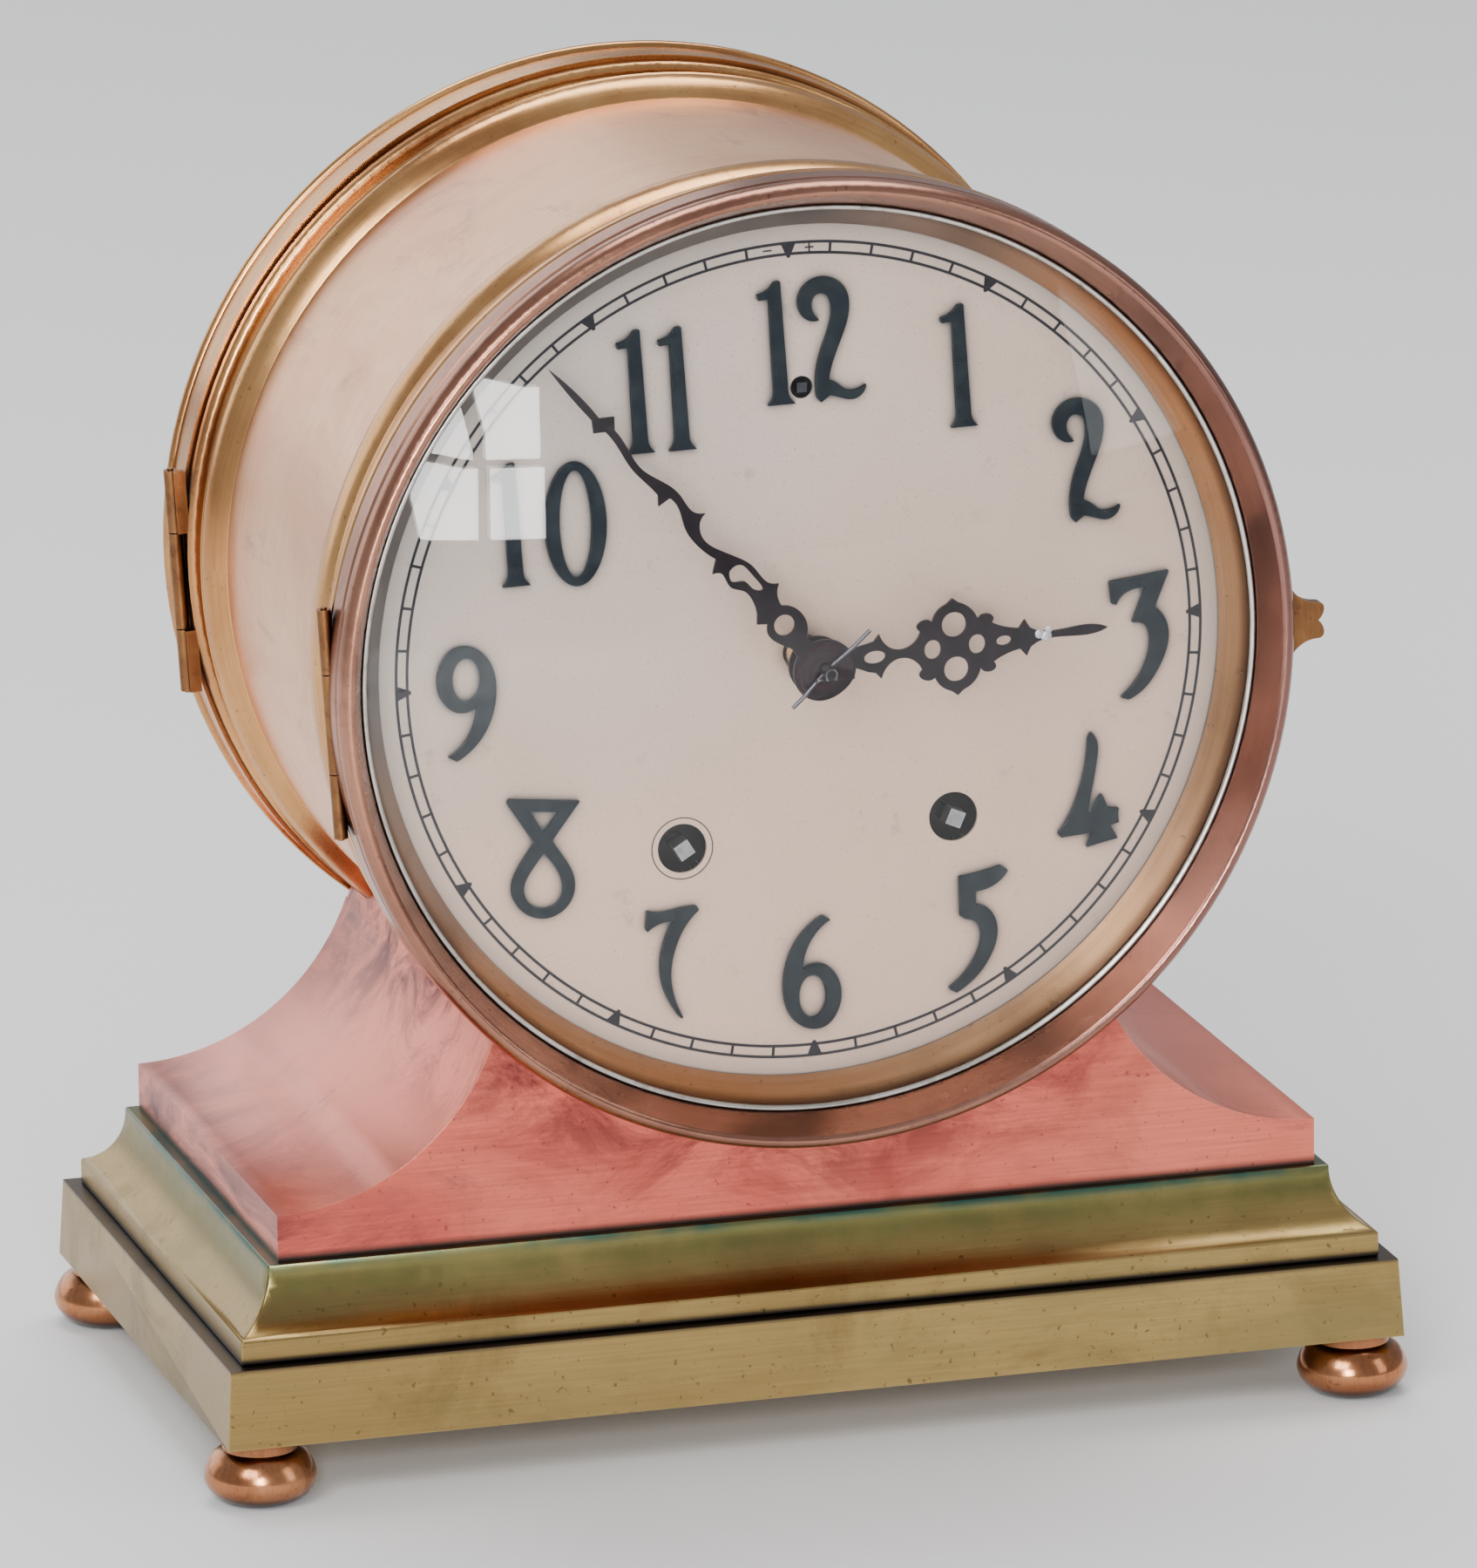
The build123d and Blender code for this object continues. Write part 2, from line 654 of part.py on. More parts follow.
seat_y = mid_y - 85.9
seat_radius = 114.9
lip_radius = 113.4
end_rooms = (
    (-hinge_half - 0.8, knuckle_gap - knuckle_split),
    (knuckle_split - knuckle_gap, hinge_half + 0.8),
)
ring(
    "bezel_ring",
    [(seat_radius, bezel_back), (120.4, bezel_back)],
    [(120.4, bezel_back), (band_radius, bezel_back - 0.5)],
    [(band_radius, bezel_back - 0.5), (band_radius, mid_y - 89.4)],
    [(band_radius, mid_y - 89.4), (120.3, mid_y - 89.9)],
    [(120.3, mid_y - 89.9), (120.95, mid_y - 92.6), (120.4, mid_y - 95.4), (118.8, mid_y - 96.9),
     (117.4, mid_y - 96.3)],
    [(117.4, mid_y - 96.3), (115.9, mid_y - 92.6), (114.5, mid_y - 89.2), (lip_radius, seat_y - 0.9)],
    [(lip_radius, seat_y - 0.9), (lip_radius, seat_y)],
    [(lip_radius, seat_y), (seat_radius, seat_y)],
    [(seat_radius, seat_y), (seat_radius, bezel_back)],
    seat=barrel_seat(front_hinge_radius, front_hinge_y, (middle_span,), end_rooms).part,
)
save(knuckles(front_hinge_radius, front_hinge_y, outer_spans, hinge_pin_radius), "front_hinge_knuckles")
save(
    knuckles(front_hinge_radius, front_hinge_y, (middle_span,), hinge_pin_radius + running),
    "bezel_hinge_knuckle",
)
save(hinge_bar(front_hinge_radius, front_hinge_y, (whole_span,), hinge_pin_radius), "front_hinge_pin")

glass_rim = 112.0
glass_edge = 114.6
glass_thick = 2.5
glass_rise = seat_y - (mid_y - glass_front)
glass_curve = (glass_rim**2 + glass_rise**2) / (2 * glass_rise)


def glass_sag(r):
    return glass_curve - math.sqrt(glass_curve**2 - r**2)


apex = mid_y - glass_front
with BuildPart() as glass:
    with BuildSketch(profile_plane):
        with BuildLine():
            ThreePointArc((0, apex), (glass_rim / 2, apex + glass_sag(glass_rim / 2)), (glass_rim, seat_y))
            Polyline(
                (glass_rim, seat_y),
                (glass_edge, seat_y),
                (glass_edge, seat_y + glass_thick),
                (glass_rim, seat_y + glass_thick),
            )
            ThreePointArc(
                (glass_rim, seat_y + glass_thick),
                (glass_rim / 2, apex + glass_sag(glass_rim / 2) + glass_thick),
                (0, apex + glass_thick),
            )
            Line((0, apex + glass_thick), (0, apex))
        make_face()
    revolve(axis=case_axis)
save(glass, "glass")

ring(
    "glass_ring",
    [(112.1, seat_y - 0.05), (lip_radius, seat_y - 0.05)],
    [(lip_radius, seat_y - 0.05), (lip_radius, seat_y - 0.9)],
    [(lip_radius, seat_y - 0.9), (112.9, seat_y - 1.3), (112.3, seat_y - 1.1), (112.1, seat_y - 0.05)],
)
reflector_back = dial_face - 0.5
reflector_front = seat_y + glass_thick
ring(
    "reflector_ring",
    [(112.4, reflector_front), (seat_radius - 0.05, reflector_front)],
    [(seat_radius - 0.05, reflector_front), (seat_radius - 0.05, reflector_front + 0.8)],
    [(seat_radius - 0.05, reflector_front + 0.8), (113.0, reflector_front + 0.8)],
    [(113.0, reflector_front + 0.8), (107.2, reflector_back)],
    [(107.2, reflector_back), (106.5, reflector_back)],
    [(106.5, reflector_back), (112.4, reflector_front)],
)

# A cast finger tab with a forked tail, behind the bezel's right side.
tab_plane_y = mid_y - 85.0
tab_half = 12.2
with BuildPart() as finger_tab:
    with BuildSketch(front(tab_plane_y)):
        with BuildLine():
            outline(
                [(117, tab_half), (121.6, tab_half)],
                [(121.6, tab_half), (122.6, 8.0), (125.6, 5.4), (128.8, 4.6)],
                [(128.8, 4.6), (130.6, 3.6), (130.2, 1.2), (129.2, 0)],
                [(129.2, 0), (130.2, -1.2), (130.6, -3.6), (128.8, -4.6)],
                [(128.8, -4.6), (125.6, -5.4), (122.6, -8.0), (121.6, -tab_half)],
                [(121.6, -tab_half), (117, -tab_half)],
                [(117, -tab_half), (117, tab_half)],
            )
        make_face()
        Circle(band_radius, mode=Mode.SUBTRACT)
    extrude(amount=3.2)
save(finger_tab, "finger_tab")

ring(
    "rear_door_ring",
    [(117.4, door_front), (door_ring_radius, door_front)],
    [(door_ring_radius, door_front), (door_ring_radius, mid_y + 82.2)],
    [(door_ring_radius, mid_y + 82.2), (120.5, mid_y + 82.9), (120.5, mid_y + 84.4), (119.4, mid_y + 85.2)],
    [(119.4, mid_y + 85.2), (111.0, mid_y + 85.2)],
    [(111.0, mid_y + 85.2), (111.0, mid_y + 84.2)],
    [(111.0, mid_y + 84.2), (117.4, mid_y + 84.2)],
    [(117.4, mid_y + 84.2), (117.4, door_front)],
    seat=barrel_seat(rear_hinge_radius, rear_hinge_y, (middle_span,), end_rooms).part,
)
rear_plate_back = mid_y + 84.2
rear_plate_thick = 1.2
knob_place = (104.0, 0.0)
knob_stem = 2.5
with BuildPart() as rear_door_plate:
    with BuildSketch(front(rear_plate_back)):
        Circle(117.3)
        with Locations(knob_place):
            Circle(knob_stem + running, mode=Mode.SUBTRACT)
    extrude(amount=rear_plate_thick)
save(rear_door_plate, "rear_door_plate")

rear_leaf = (1.1, 3.3, rear_seat_radius)
save(
    knuckles(rear_hinge_radius, rear_hinge_y, outer_spans, hinge_pin_radius, leaf=rear_leaf),
    "rear_hinge_knuckles",
)
save(
    knuckles(rear_hinge_radius, rear_hinge_y, (middle_span,), hinge_pin_radius + running),
    "rear_door_knuckle",
)
save(hinge_bar(rear_hinge_radius, rear_hinge_y, (whole_span,), hinge_pin_radius), "rear_hinge_pin")

knob_back = rear_plate_back + 6.0
stem_end = rear_plate_back - rear_plate_thick - 4.0
knob_origin = (knob_place[0], 0, axis_z + knob_place[1])
with BuildPart() as rear_latch:
    with BuildSketch(Plane(origin=knob_origin, x_dir=(1, 0, 0), z_dir=(0, 0, 1))):
        with BuildLine():
            Line((0, stem_end), (knob_stem, stem_end))
            Line((knob_stem, stem_end), (knob_stem, rear_plate_back + 0.6))
            Line((knob_stem, rear_plate_back + 0.6), (3.4, rear_plate_back + 0.6))
            Spline(
                (3.4, rear_plate_back + 0.6), (3.0, rear_plate_back + 2.0), (5.2, rear_plate_back + 3.4),
                (5.0, knob_back - 0.6), (3.0, knob_back),
            )
            Line((3.0, knob_back), (0, knob_back))
            Line((0, knob_back), (0, stem_end))
        make_face()
    revolve(axis=Axis(knob_origin, (0, 1, 0)))
    with BuildSketch(front(rear_plate_back - rear_plate_thick - 1.0)):
        with Locations((knob_place[0] + 3.5, knob_place[1])):
            SlotOverall(14.0, 6.0)
    extrude(amount=1.5)
save(rear_latch, "rear_latch")

# ==== hands and motion work ====
hour_hand_y = dial_face - 13.0
minute_hand_y = dial_face - 19.5
hand_thick = 0.8
centre_arbor_radius = 1.5
cannon_radius = 3.2
hour_pipe_radius = 4.2
arbor_tip = dial_face - 26.1


def hand_line(degrees):
    return BuildLine(Location((0, 0, 0), (0, 0, 90 - degrees)))


def hour_side(side):
    """One side of the hour hand's outline, from the hub to the point."""
    strokes = [
        [(6.5, 2.6), (11.5, 3.3), (14.5, 3.9)],
        [(14.5, 3.9), (16.0, 5.6)],
        [(16.0, 5.6), (17.2, 3.2), (19.5, 1.4), (22.5, 1.2), (25.0, 2.6), (26.4, 4.8)],
        [(26.4, 4.8), (25.7, 6.4), (27.2, 7.5), (29.5, 6.9)],
        [(29.5, 6.9), (30.7, 9.2), (33.4, 10.9)],
        [(33.4, 10.9), (35.0, 12.2)],
        [(35.0, 12.2), (36.6, 10.9)],
        [(36.6, 10.9), (39.4, 9.2), (41.2, 6.0)],
        [(41.2, 6.0), (43.2, 7.3), (44.9, 6.6), (44.6, 4.9)],
        [(44.6, 4.9), (47.6, 3.5), (51.4, 2.6)],
        [(51.4, 2.6), (53.0, 4.6)],
        [(53.0, 4.6), (54.2, 2.4)],
        [(54.2, 2.4), (56.0, 1.4)],
        [(56.0, 1.4), (66.0, 1.2), (72.0, 0.8), (74.0, 0.0)],
    ]
    return [[(u, side * v) for u, v in stroke] for stroke in strokes]


with BuildPart() as hour_hand:
    with BuildSketch(works(hour_hand_y)):
        with hand_line(hour_angle):
            outline(*hour_side(1), *[stroke[::-1] for stroke in hour_side(-1)[::-1]])
            Line((6.5, -2.6), (6.5, 2.6))
        make_face()
        with Locations(Location((0, 0, 0), (0, 0, 90 - hour_angle))):
            with Locations((35.0, 5.6), (35.0, -5.6)):
                Circle(3.1, mode=Mode.SUBTRACT)
            with Locations((14.6, 0)):
                Ellipse(2.7, 1.6, mode=Mode.SUBTRACT)
            with Locations((29.3, 0), (40.6, 0)):
                Ellipse(2.1, 2.4, mode=Mode.SUBTRACT)
            with Locations((47.4, 0)):
                Ellipse(1.9, 1.2, mode=Mode.SUBTRACT)
        Circle(7.2)
        Circle(hour_pipe_radius, mode=Mode.SUBTRACT)
    extrude(amount=hand_thick)
save(hour_hand, "hour_hand")

minute_length = 101.0
minute_drop = 12.0


def minute_bend(r):
    """How far the minute hand has bent back towards the dial at a distance from its hub."""
    return minute_drop * (max(r - 8.0, 0) / 92.0) ** 3


with BuildPart() as minute_hand:
    with BuildSketch(works(dial_face - 3.0)):
        with hand_line(minute_angle):
            outline(
                [(7.0, -2.2), (10.1, -2.6)],
                [(10.1, -2.6), (13.0, -4.9), (17.0, -5.0), (20.0, -2.9)],
                [(20.0, -2.9), (22.8, -3.8), (24.7, -6.0)],
                [(24.7, -6.0), (26.8, -4.2), (32.6, -4.1), (37.0, -2.7), (41.4, -0.7), (46.0, 0.3),
                 (49.0, -1.0), (50.4, -4.2)],
                [(50.4, -4.2), (52.8, -2.3), (58.4, -2.7), (64.8, -1.2), (69.2, -0.1), (75.0, -1.0),
                 (80.2, -1.7)],
                [(80.2, -1.7), (82.5, -3.8)],
                [(82.5, -3.8), (84.6, -0.9)],
                [(84.6, -0.9), (94.5, -0.9), (minute_length, 0)],
                [(minute_length, 0), (93.0, 0.7), (85.4, 0.8)],
                [(85.4, 0.8), (83.0, 2.6)],
                [(83.0, 2.6), (81.4, 0.3)],
                [(81.4, 0.3), (76.0, 0.7), (70.4, 1.7), (65.0, 1.4), (61.6, 1.3)],
                [(61.6, 1.3), (59.6, 3.0)],
                [(59.6, 3.0), (59.2, -0.3)],
                [(59.2, -0.3), (56.0, -0.3), (51.0, 1.9), (45.8, 2.5), (40.2, 1.4)],
                [(40.2, 1.4), (38.0, 4.4)],
                [(38.0, 4.4), (36.2, 2.7), (32.4, 3.3), (29.4, 1.6), (25.8, 1.6), (22.6, 3.0)],
                [(22.6, 3.0), (20.8, 4.6)],
                [(20.8, 4.6), (19.0, 2.6)],
                [(19.0, 2.6), (15.9, 4.4), (12.4, 3.4), (10.0, 2.4)],
                [(10.0, 2.4), (7.0, 2.6)],
                [(7.0, 2.6), (7.0, -2.2)],
            )
        make_face()
        Circle(7.9)
        with Locations(Location((0, 0, 0), (0, 0, 90 - minute_angle))):
            with Locations((15.9, -0.2)):
                Circle(2.6, mode=Mode.SUBTRACT)
        with hand_line(minute_angle):
            Spline(
                (35.6, 1.0), (35.0, -2.0), (30.4, -2.6), (26.4, -1.9), (28.2, -0.5), (31.0, -0.2),
                (32.6, 1.7), (35.6, 1.0),
            )
        make_face(mode=Mode.SUBTRACT)
        Circle(cannon_radius, mode=Mode.SUBTRACT)
    extrude(amount=20.0)
    hand_axis = works(0).from_local_coords(polar(1.0, 90 - minute_angle)) - Vector(0, 0, axis_z)
    with BuildSketch(Plane(origin=(0, 0, axis_z), x_dir=hand_axis, z_dir=Vector(0, 1, 0).cross(hand_axis))):
        with BuildLine():
            back = [(r, -minute_hand_y - minute_bend(r)) for r in (-12, 8, 40, 60, 80, 104)]
            face = [(r, y + hand_thick) for r, y in back]
            Line(back[0], back[1])
            Spline(*back[1:])
            Line(back[-1], face[-1])
            Spline(*face[:0:-1])
            Line(face[1], face[0])
            Line(face[0], back[0])
        make_face()
    extrude(amount=20.0, both=True, mode=Mode.INTERSECT)
save(minute_hand, "minute_hand")

# ==== movement ====
plate_back = back_plate_y + plate_thick
arbor_front = front_plate_y - 0.4
arbor_back = plate_back + 0.4
click_radius = 14.0
click_hub = 2.4
click_post_radius = 1.0
click_angles = {"time": 20.0, "strike": 160.0}
winding_places = {"time": time_arbor, "strike": strike_arbor}
click_places = {
    side: polar(click_radius, click_angles[side], place) for side, place in winding_places.items()
}
cock_foot = (balance[0] - 19.0, balance[1])


def tooth_ring(teeth, module, phase):
    """Corners of a toothed rim: slim straight-sided teeth, the first one centred on the phase."""
    pitch = 360 / teeth
    root, tip = module * (teeth / 2 - 1.2), module * (teeth / 2 + 0.85)
    corners = []
    for k in range(teeth):
        for radius, share in ((root, -0.27), (tip, -0.07), (tip, 0.07), (root, 0.27)):
            corners.append(polar(radius, phase + (k + share) * pitch))
    return corners


def gap_phase(teeth, toward):
    """The phase that puts a gap between teeth, not a tooth, on a bearing."""
    return toward + 180 / teeth


def arbor(place, radius, rims, y_front=arbor_front, y_back=arbor_back):
    """A straight arbor carrying toothed rims: teeth, module, phase, front, back and round crossings."""
    with BuildPart() as piece:
        with BuildSketch(works(y_back)):
            with Locations(place):
                Circle(radius)
        extrude(amount=y_back - y_front)
        for teeth, module, phase, rim_front, rim_back, crossings in rims:
            with BuildSketch(works(rim_back)):
                with Locations(place):
                    Polygon(*tooth_ring(teeth, module, phase), align=None)
                    if crossings:
                        window = module * teeth / 2 * 0.24
                        with PolarLocations(module * teeth / 2 * 0.58, crossings):
                            Circle(window, mode=Mode.SUBTRACT)
            extrude(amount=rim_back - rim_front)
    return piece



def plate(y_front, bores):
    with BuildPart() as piece:
        with BuildSketch(works(y_front + plate_thick)):
            with Locations(plate_middle):
                RectangleRounded(plate_width, plate_height, 8.0)
            for place, radius in bores:
                with Locations(place):
                    Circle(radius + running, mode=Mode.SUBTRACT)
        extrude(amount=plate_thick)
    return piece


minute_post_radius = 1.0
posts = [(minute_post, minute_post_radius)] + [(place, click_post_radius) for place in click_places.values()]
with BuildPart() as front_plate:
    add(plate(front_plate_y, arbor_places + [(regulator, 1.5)]).part)
    with BuildSketch(works(front_plate_y)):
        for place, radius in posts:
            with Locations(place):
                Circle(radius)
    extrude(amount=3.2)
save(front_plate, "front_plate")
save(plate(back_plate_y, arbor_places), "back_plate")

pillar_places = [
    (plate_middle[0] + sx * pillar_spread[0] / 2, plate_middle[1] + sz * pillar_spread[1] / 2)
    for sx in (-1, 1)
    for sz in (-1, 1)
]
with BuildPart() as movement_pillars:
    with BuildSketch(works(back_plate_y)):
        with Locations(*pillar_places):
            Circle(2.5)
    extrude(amount=back_plate_y - front_plate_y - plate_thick)
save(movement_pillars, "movement_pillars")

backing_back = backing_face + backing_thick
with BuildPart() as dial_posts:
    with BuildSketch(works(front_plate_y)):
        with Locations(*movement_posts):
            Circle(3.0)
    extrude(amount=front_plate_y - backing_back)
save(dial_posts, "dial_posts")

# Winding arbors: a square for the key, the ratchet in front of the plate, the barrel arbor behind.
square_side = 4.0
square_tip = dial_face - 2.0
ratchet_teeth, ratchet_root, ratchet_tip = 24, 7.4, 8.6
ratchet_y = front_plate_y - 2.3
square_turns = {"time": -25.0, "strike": 30.0}


def ratchet_ring(lean):
    corners = []
    for k in range(ratchet_teeth):
        corners.append(polar(ratchet_root, k * 360 / ratchet_teeth))
        corners.append(polar(ratchet_tip, (k + 0.1 * lean) * 360 / ratchet_teeth))
    return corners


for side, lean in (("time", 1), ("strike", -1)):
    with BuildPart() as winding_arbor:
        with BuildSketch(works(ratchet_y)):
            with Locations(winding_places[side]):
                Rectangle(square_side, square_side, rotation=square_turns[side])
        extrude(amount=ratchet_y - square_tip)
        with BuildSketch(works(arbor_back)):
            with Locations(winding_places[side]):
                Circle(3.0)
        extrude(amount=arbor_back - ratchet_y)
        with BuildSketch(works(ratchet_y + 1.5)):
            with Locations(winding_places[side]):
                Polygon(*ratchet_ring(lean), align=None)
        extrude(amount=1.5)
    save(winding_arbor, f"{side}_winding_arbor")

# Each click turns on its post and leans its nose towards the ratchet.
for side, nose_turn in (("time", 38), ("strike", -38)):
    with BuildPart() as click:
        with BuildSketch(works(ratchet_y + 1.5)):
            place = click_places[side]
            with Locations(place):
                Circle(click_hub)
            nose = polar(ratchet_tip + 0.4, click_angles[side] + nose_turn, winding_places[side])
            slope = bearing(place, nose)
            heel = [polar(click_hub - 0.1, slope + side_turn, place) for side_turn in (70, -70)]
            Polygon(heel[0], heel[1], nose, align=None)
            with Locations(place):
                Circle(click_post_radius + running, mode=Mode.SUBTRACT)
        extrude(amount=1.5)
    save(click, f"{side}_click")

barrel_wall_radius = 28.0
barrel_front, barrel_back = back_plate_y - 13.9, back_plate_y - 2.9
great_front = barrel_front - 2.0
spring_turns, spring_steps, spring_gap = 6, 20, 2.1


def coil(inner, half):
    """A flat spiral strip from its inner radius outward, as the corners of both its faces."""
    count = spring_turns * spring_steps
    faces = []
    for edge in (-half, half):
        turns = [k / spring_steps for k in range(count + 1)]
        faces.append([polar(inner + spring_gap * turn + edge, 360 * turn) for turn in turns])
    return faces[0] + faces[1][::-1]


great_toward = {"time": bearing(time_arbor, time_second), "strike": bearing(strike_arbor, strike_second)}
for side, place in winding_places.items():
    with BuildPart() as barrel:
        with BuildSketch(works(barrel_front)):
            with Locations(place):
                Polygon(*tooth_ring(great_teeth, great_module, great_toward[side]), align=None)
        extrude(amount=barrel_front - great_front)
        with BuildSketch(works(barrel_back)):
            with Locations(place):
                Circle(barrel_wall_radius)
        extrude(amount=barrel_back - barrel_front)
        with BuildSketch(works(barrel_back - 1.2)):
            with Locations(place):
                Circle(barrel_wall_radius - 1.5)
        extrude(amount=barrel_back - barrel_front - 1.2, mode=Mode.SUBTRACT)
        with BuildSketch(works(barrel_back)):
            with Locations(place):
                Circle(3.0 + running)
        extrude(amount=20.0, mode=Mode.SUBTRACT)
        with BuildSketch(works(barrel_back - 2.0)):
            with Locations(place):
                Polygon(*coil(6.0, 0.35), align=None)
        extrude(amount=barrel_back - barrel_front - 3.0)
    save(barrel, f"{side}_barrel")

# The time train, from the second arbor to the escapement.
second_wheel_y = (back_plate_y - 23.9, back_plate_y - 22.4)
second_pinion_y = (back_plate_y - 16.9, back_plate_y - 12.9)
next_pinion_y = (back_plate_y - 25.4, back_plate_y - 20.9)
second_arbors = {
    "time": (time_second, centre, time_arbor),
    "strike": (strike_second, pin_wheel, strike_arbor),
}
for side, (place, onward, driver) in second_arbors.items():
    rims = [
        (second_teeth, second_module, bearing(place, onward), *second_wheel_y, 5),
        (great_pinion, great_module, gap_phase(great_pinion, bearing(place, driver)), *second_pinion_y, 0),
    ]
    save(arbor(place, 1.2, rims), f"{side}_second_wheel")

centre_wheel_y = (back_plate_y - 29.9, back_plate_y - 28.5)
third_wheel_y = (back_plate_y - 8.9, back_plate_y - 7.9)
fourth_wheel_y = (back_plate_y - 20.4, back_plate_y - 19.4)
centre_rims = [
    (centre_teeth, centre_module, bearing(centre, third), *centre_wheel_y, 5),
    (second_pinion, second_module, gap_phase(second_pinion, bearing(centre, time_second)), *next_pinion_y, 0),
]
save(arbor(centre, centre_arbor_radius, centre_rims, y_front=arbor_tip), "centre_wheel")
third_rims = [
    (third_teeth, third_module, bearing(third, fourth), *third_wheel_y, 5),
    (centre_pinion, centre_module, gap_phase(centre_pinion, bearing(third, centre)),
     back_plate_y - 30.9, back_plate_y - 27.5, 0),
]
save(arbor(third, 1.0, third_rims), "third_wheel")
fourth_rims = [
    (fourth_teeth, fourth_module, bearing(fourth, escape), *fourth_wheel_y, 5),
    (third_pinion, third_module, gap_phase(third_pinion, bearing(fourth, third)),
     back_plate_y - 9.9, back_plate_y - 6.9, 0),
]
save(arbor(fourth, 0.8, fourth_rims), "fourth_wheel")

escape_teeth, escape_tip, escape_root = 15, 8.0, 6.2
with BuildPart() as escape_wheel:
    escape_rims = [
        (fourth_pinion, fourth_module, gap_phase(fourth_pinion, bearing(escape, fourth)),
         back_plate_y - 20.9, back_plate_y - 18.9, 0),
    ]
    add(arbor(escape, 0.7, escape_rims).part)
    with BuildSketch(works(back_plate_y - 3.2)):
        with Locations(escape):
            Circle(escape_root)
            with PolarLocations((escape_root + escape_tip) / 2 - 0.3, escape_teeth):
                Rectangle(escape_tip - escape_root + 0.6, 0.8)
    extrude(amount=0.7)
save(escape_wheel, "escape_wheel")

lever_front, lever_back = back_plate_y - 5.0, back_plate_y - 1.9
pallet_turn = bearing(pallet, escape)
with BuildPart() as lever:
    add(arbor(pallet, 0.7, []).part)
    with BuildSketch(works(lever_back)):
        with Locations(pallet):
            Circle(1.2)
        with Locations(Location((pallet[0], pallet[1], 0), (0, 0, pallet_turn))):
            with Locations((-0.3, 0)):
                Rectangle(1.2, 9.4)
            with Locations((0.6, 4.1), (0.6, -4.1)):
                Rectangle(1.4, 0.9)
        with Locations(Location((pallet[0], pallet[1], 0), (0, 0, bearing(pallet, balance)))):
            with Locations((3.6, 0)):
                Rectangle(7.2, 1.2)
    extrude(amount=lever_back - lever_front)
save(lever, "lever")

# The balance swings behind the back plate, under its cock.
balance_rim, cock_back = 14.0, plate_back + 10.0
cock_arm = 1.6
with BuildPart() as balance_wheel:
    with BuildSketch(works(cock_back)):
        with Locations(balance):
            Circle(0.7)
    extrude(amount=cock_back - arbor_front)
    with BuildSketch(works(plate_back + 6.0)):
        with Locations(balance):
            Circle(balance_rim)
            Circle(balance_rim - 1.6, mode=Mode.SUBTRACT)
            Circle(2.4)
            Rectangle(2 * balance_rim - 1.6, 1.8)
    extrude(amount=2.0)
    with BuildSketch(works(lever_back)):
        with Locations(balance):
            Circle(2.2)
    extrude(amount=1.0)
save(balance_wheel, "balance_wheel")

with BuildPart() as balance_cock:
    with BuildSketch(works(cock_back)):
        with Locations(cock_foot):
            Circle(3.0)
        with Locations(((balance[0] + cock_foot[0]) / 2, balance[1])):
            SlotCenterToCenter(balance[0] - cock_foot[0], 5.0)
        with Locations(balance):
            Circle(0.7 + running, mode=Mode.SUBTRACT)
    extrude(amount=cock_arm)
    with BuildSketch(works(cock_back)):
        with Locations(cock_foot):
            Circle(3.0)
    extrude(amount=cock_back - plate_back)
save(balance_cock, "balance_cock")

# The striking train: pin wheel, fly, hammer and bell.
pin_wheel_y = (back_plate_y - 11.9, back_plate_y - 10.9)
pin_circle, strike_pins = 13.0, 8
with BuildPart() as pin_wheel_piece:
    pin_rims = [
        (pinwheel_teeth, pinwheel_module, bearing(pin_wheel, fly), *pin_wheel_y, 5),
        (second_pinion, second_module, gap_phase(second_pinion, bearing(pin_wheel, strike_second)),
         *next_pinion_y, 0),
    ]
    add(arbor(pin_wheel, 1.0, pin_rims).part)
    with BuildSketch(works(pin_wheel_y[0])):
        with Locations(pin_wheel):
            with PolarLocations(pin_circle, strike_pins):
                Circle(0.8)
    extrude(amount=3.0)
save(pin_wheel_piece, "pin_wheel")

fly_front, fly_back = back_plate_y - 25.9, back_plate_y - 15.9
with BuildPart() as fly_piece:
    fly_rims = [
        (pinwheel_pinion, pinwheel_module, gap_phase(pinwheel_pinion, bearing(fly, pin_wheel)),
         back_plate_y - 12.9, back_plate_y - 9.9, 0),
    ]
    add(arbor(fly, 0.7, fly_rims).part)
    with BuildSketch(works(fly_back)):
        with Locations(fly):
            Rectangle(24.0, 0.8)
            Circle(1.6)
    extrude(amount=fly_back - fly_front)
save(fly_piece, "fly")

hammer_back = plate_back + 18.0
tail_turn = bearing(hammer, pin_wheel)
with BuildPart() as hammer_piece:
    add(arbor(hammer, 1.2, [], y_back=hammer_back).part)
    with BuildSketch(works(hammer_back)):
        with Locations(hammer):
            Circle(2.4)
        with Locations(Location((hammer[0], hammer[1], 0), (0, 0, bearing(hammer, hammer_place)))):
            with Locations((hammer_length / 2, 0)):
                Rectangle(hammer_length, 2.4)
    extrude(amount=2.0)
    with BuildSketch(works(hammer_back)):
        with Locations(hammer_place):
            Circle(hammer_head_radius)
    extrude(amount=9.0)
    with BuildSketch(works(pin_wheel_y[0] - 0.5)):
        with Locations(Location((hammer[0], hammer[1], 0), (0, 0, tail_turn))):
            with Locations((4.0, 0)):
                Rectangle(8.0, 1.6)
    extrude(amount=2.0)
save(hammer_piece, "hammer")

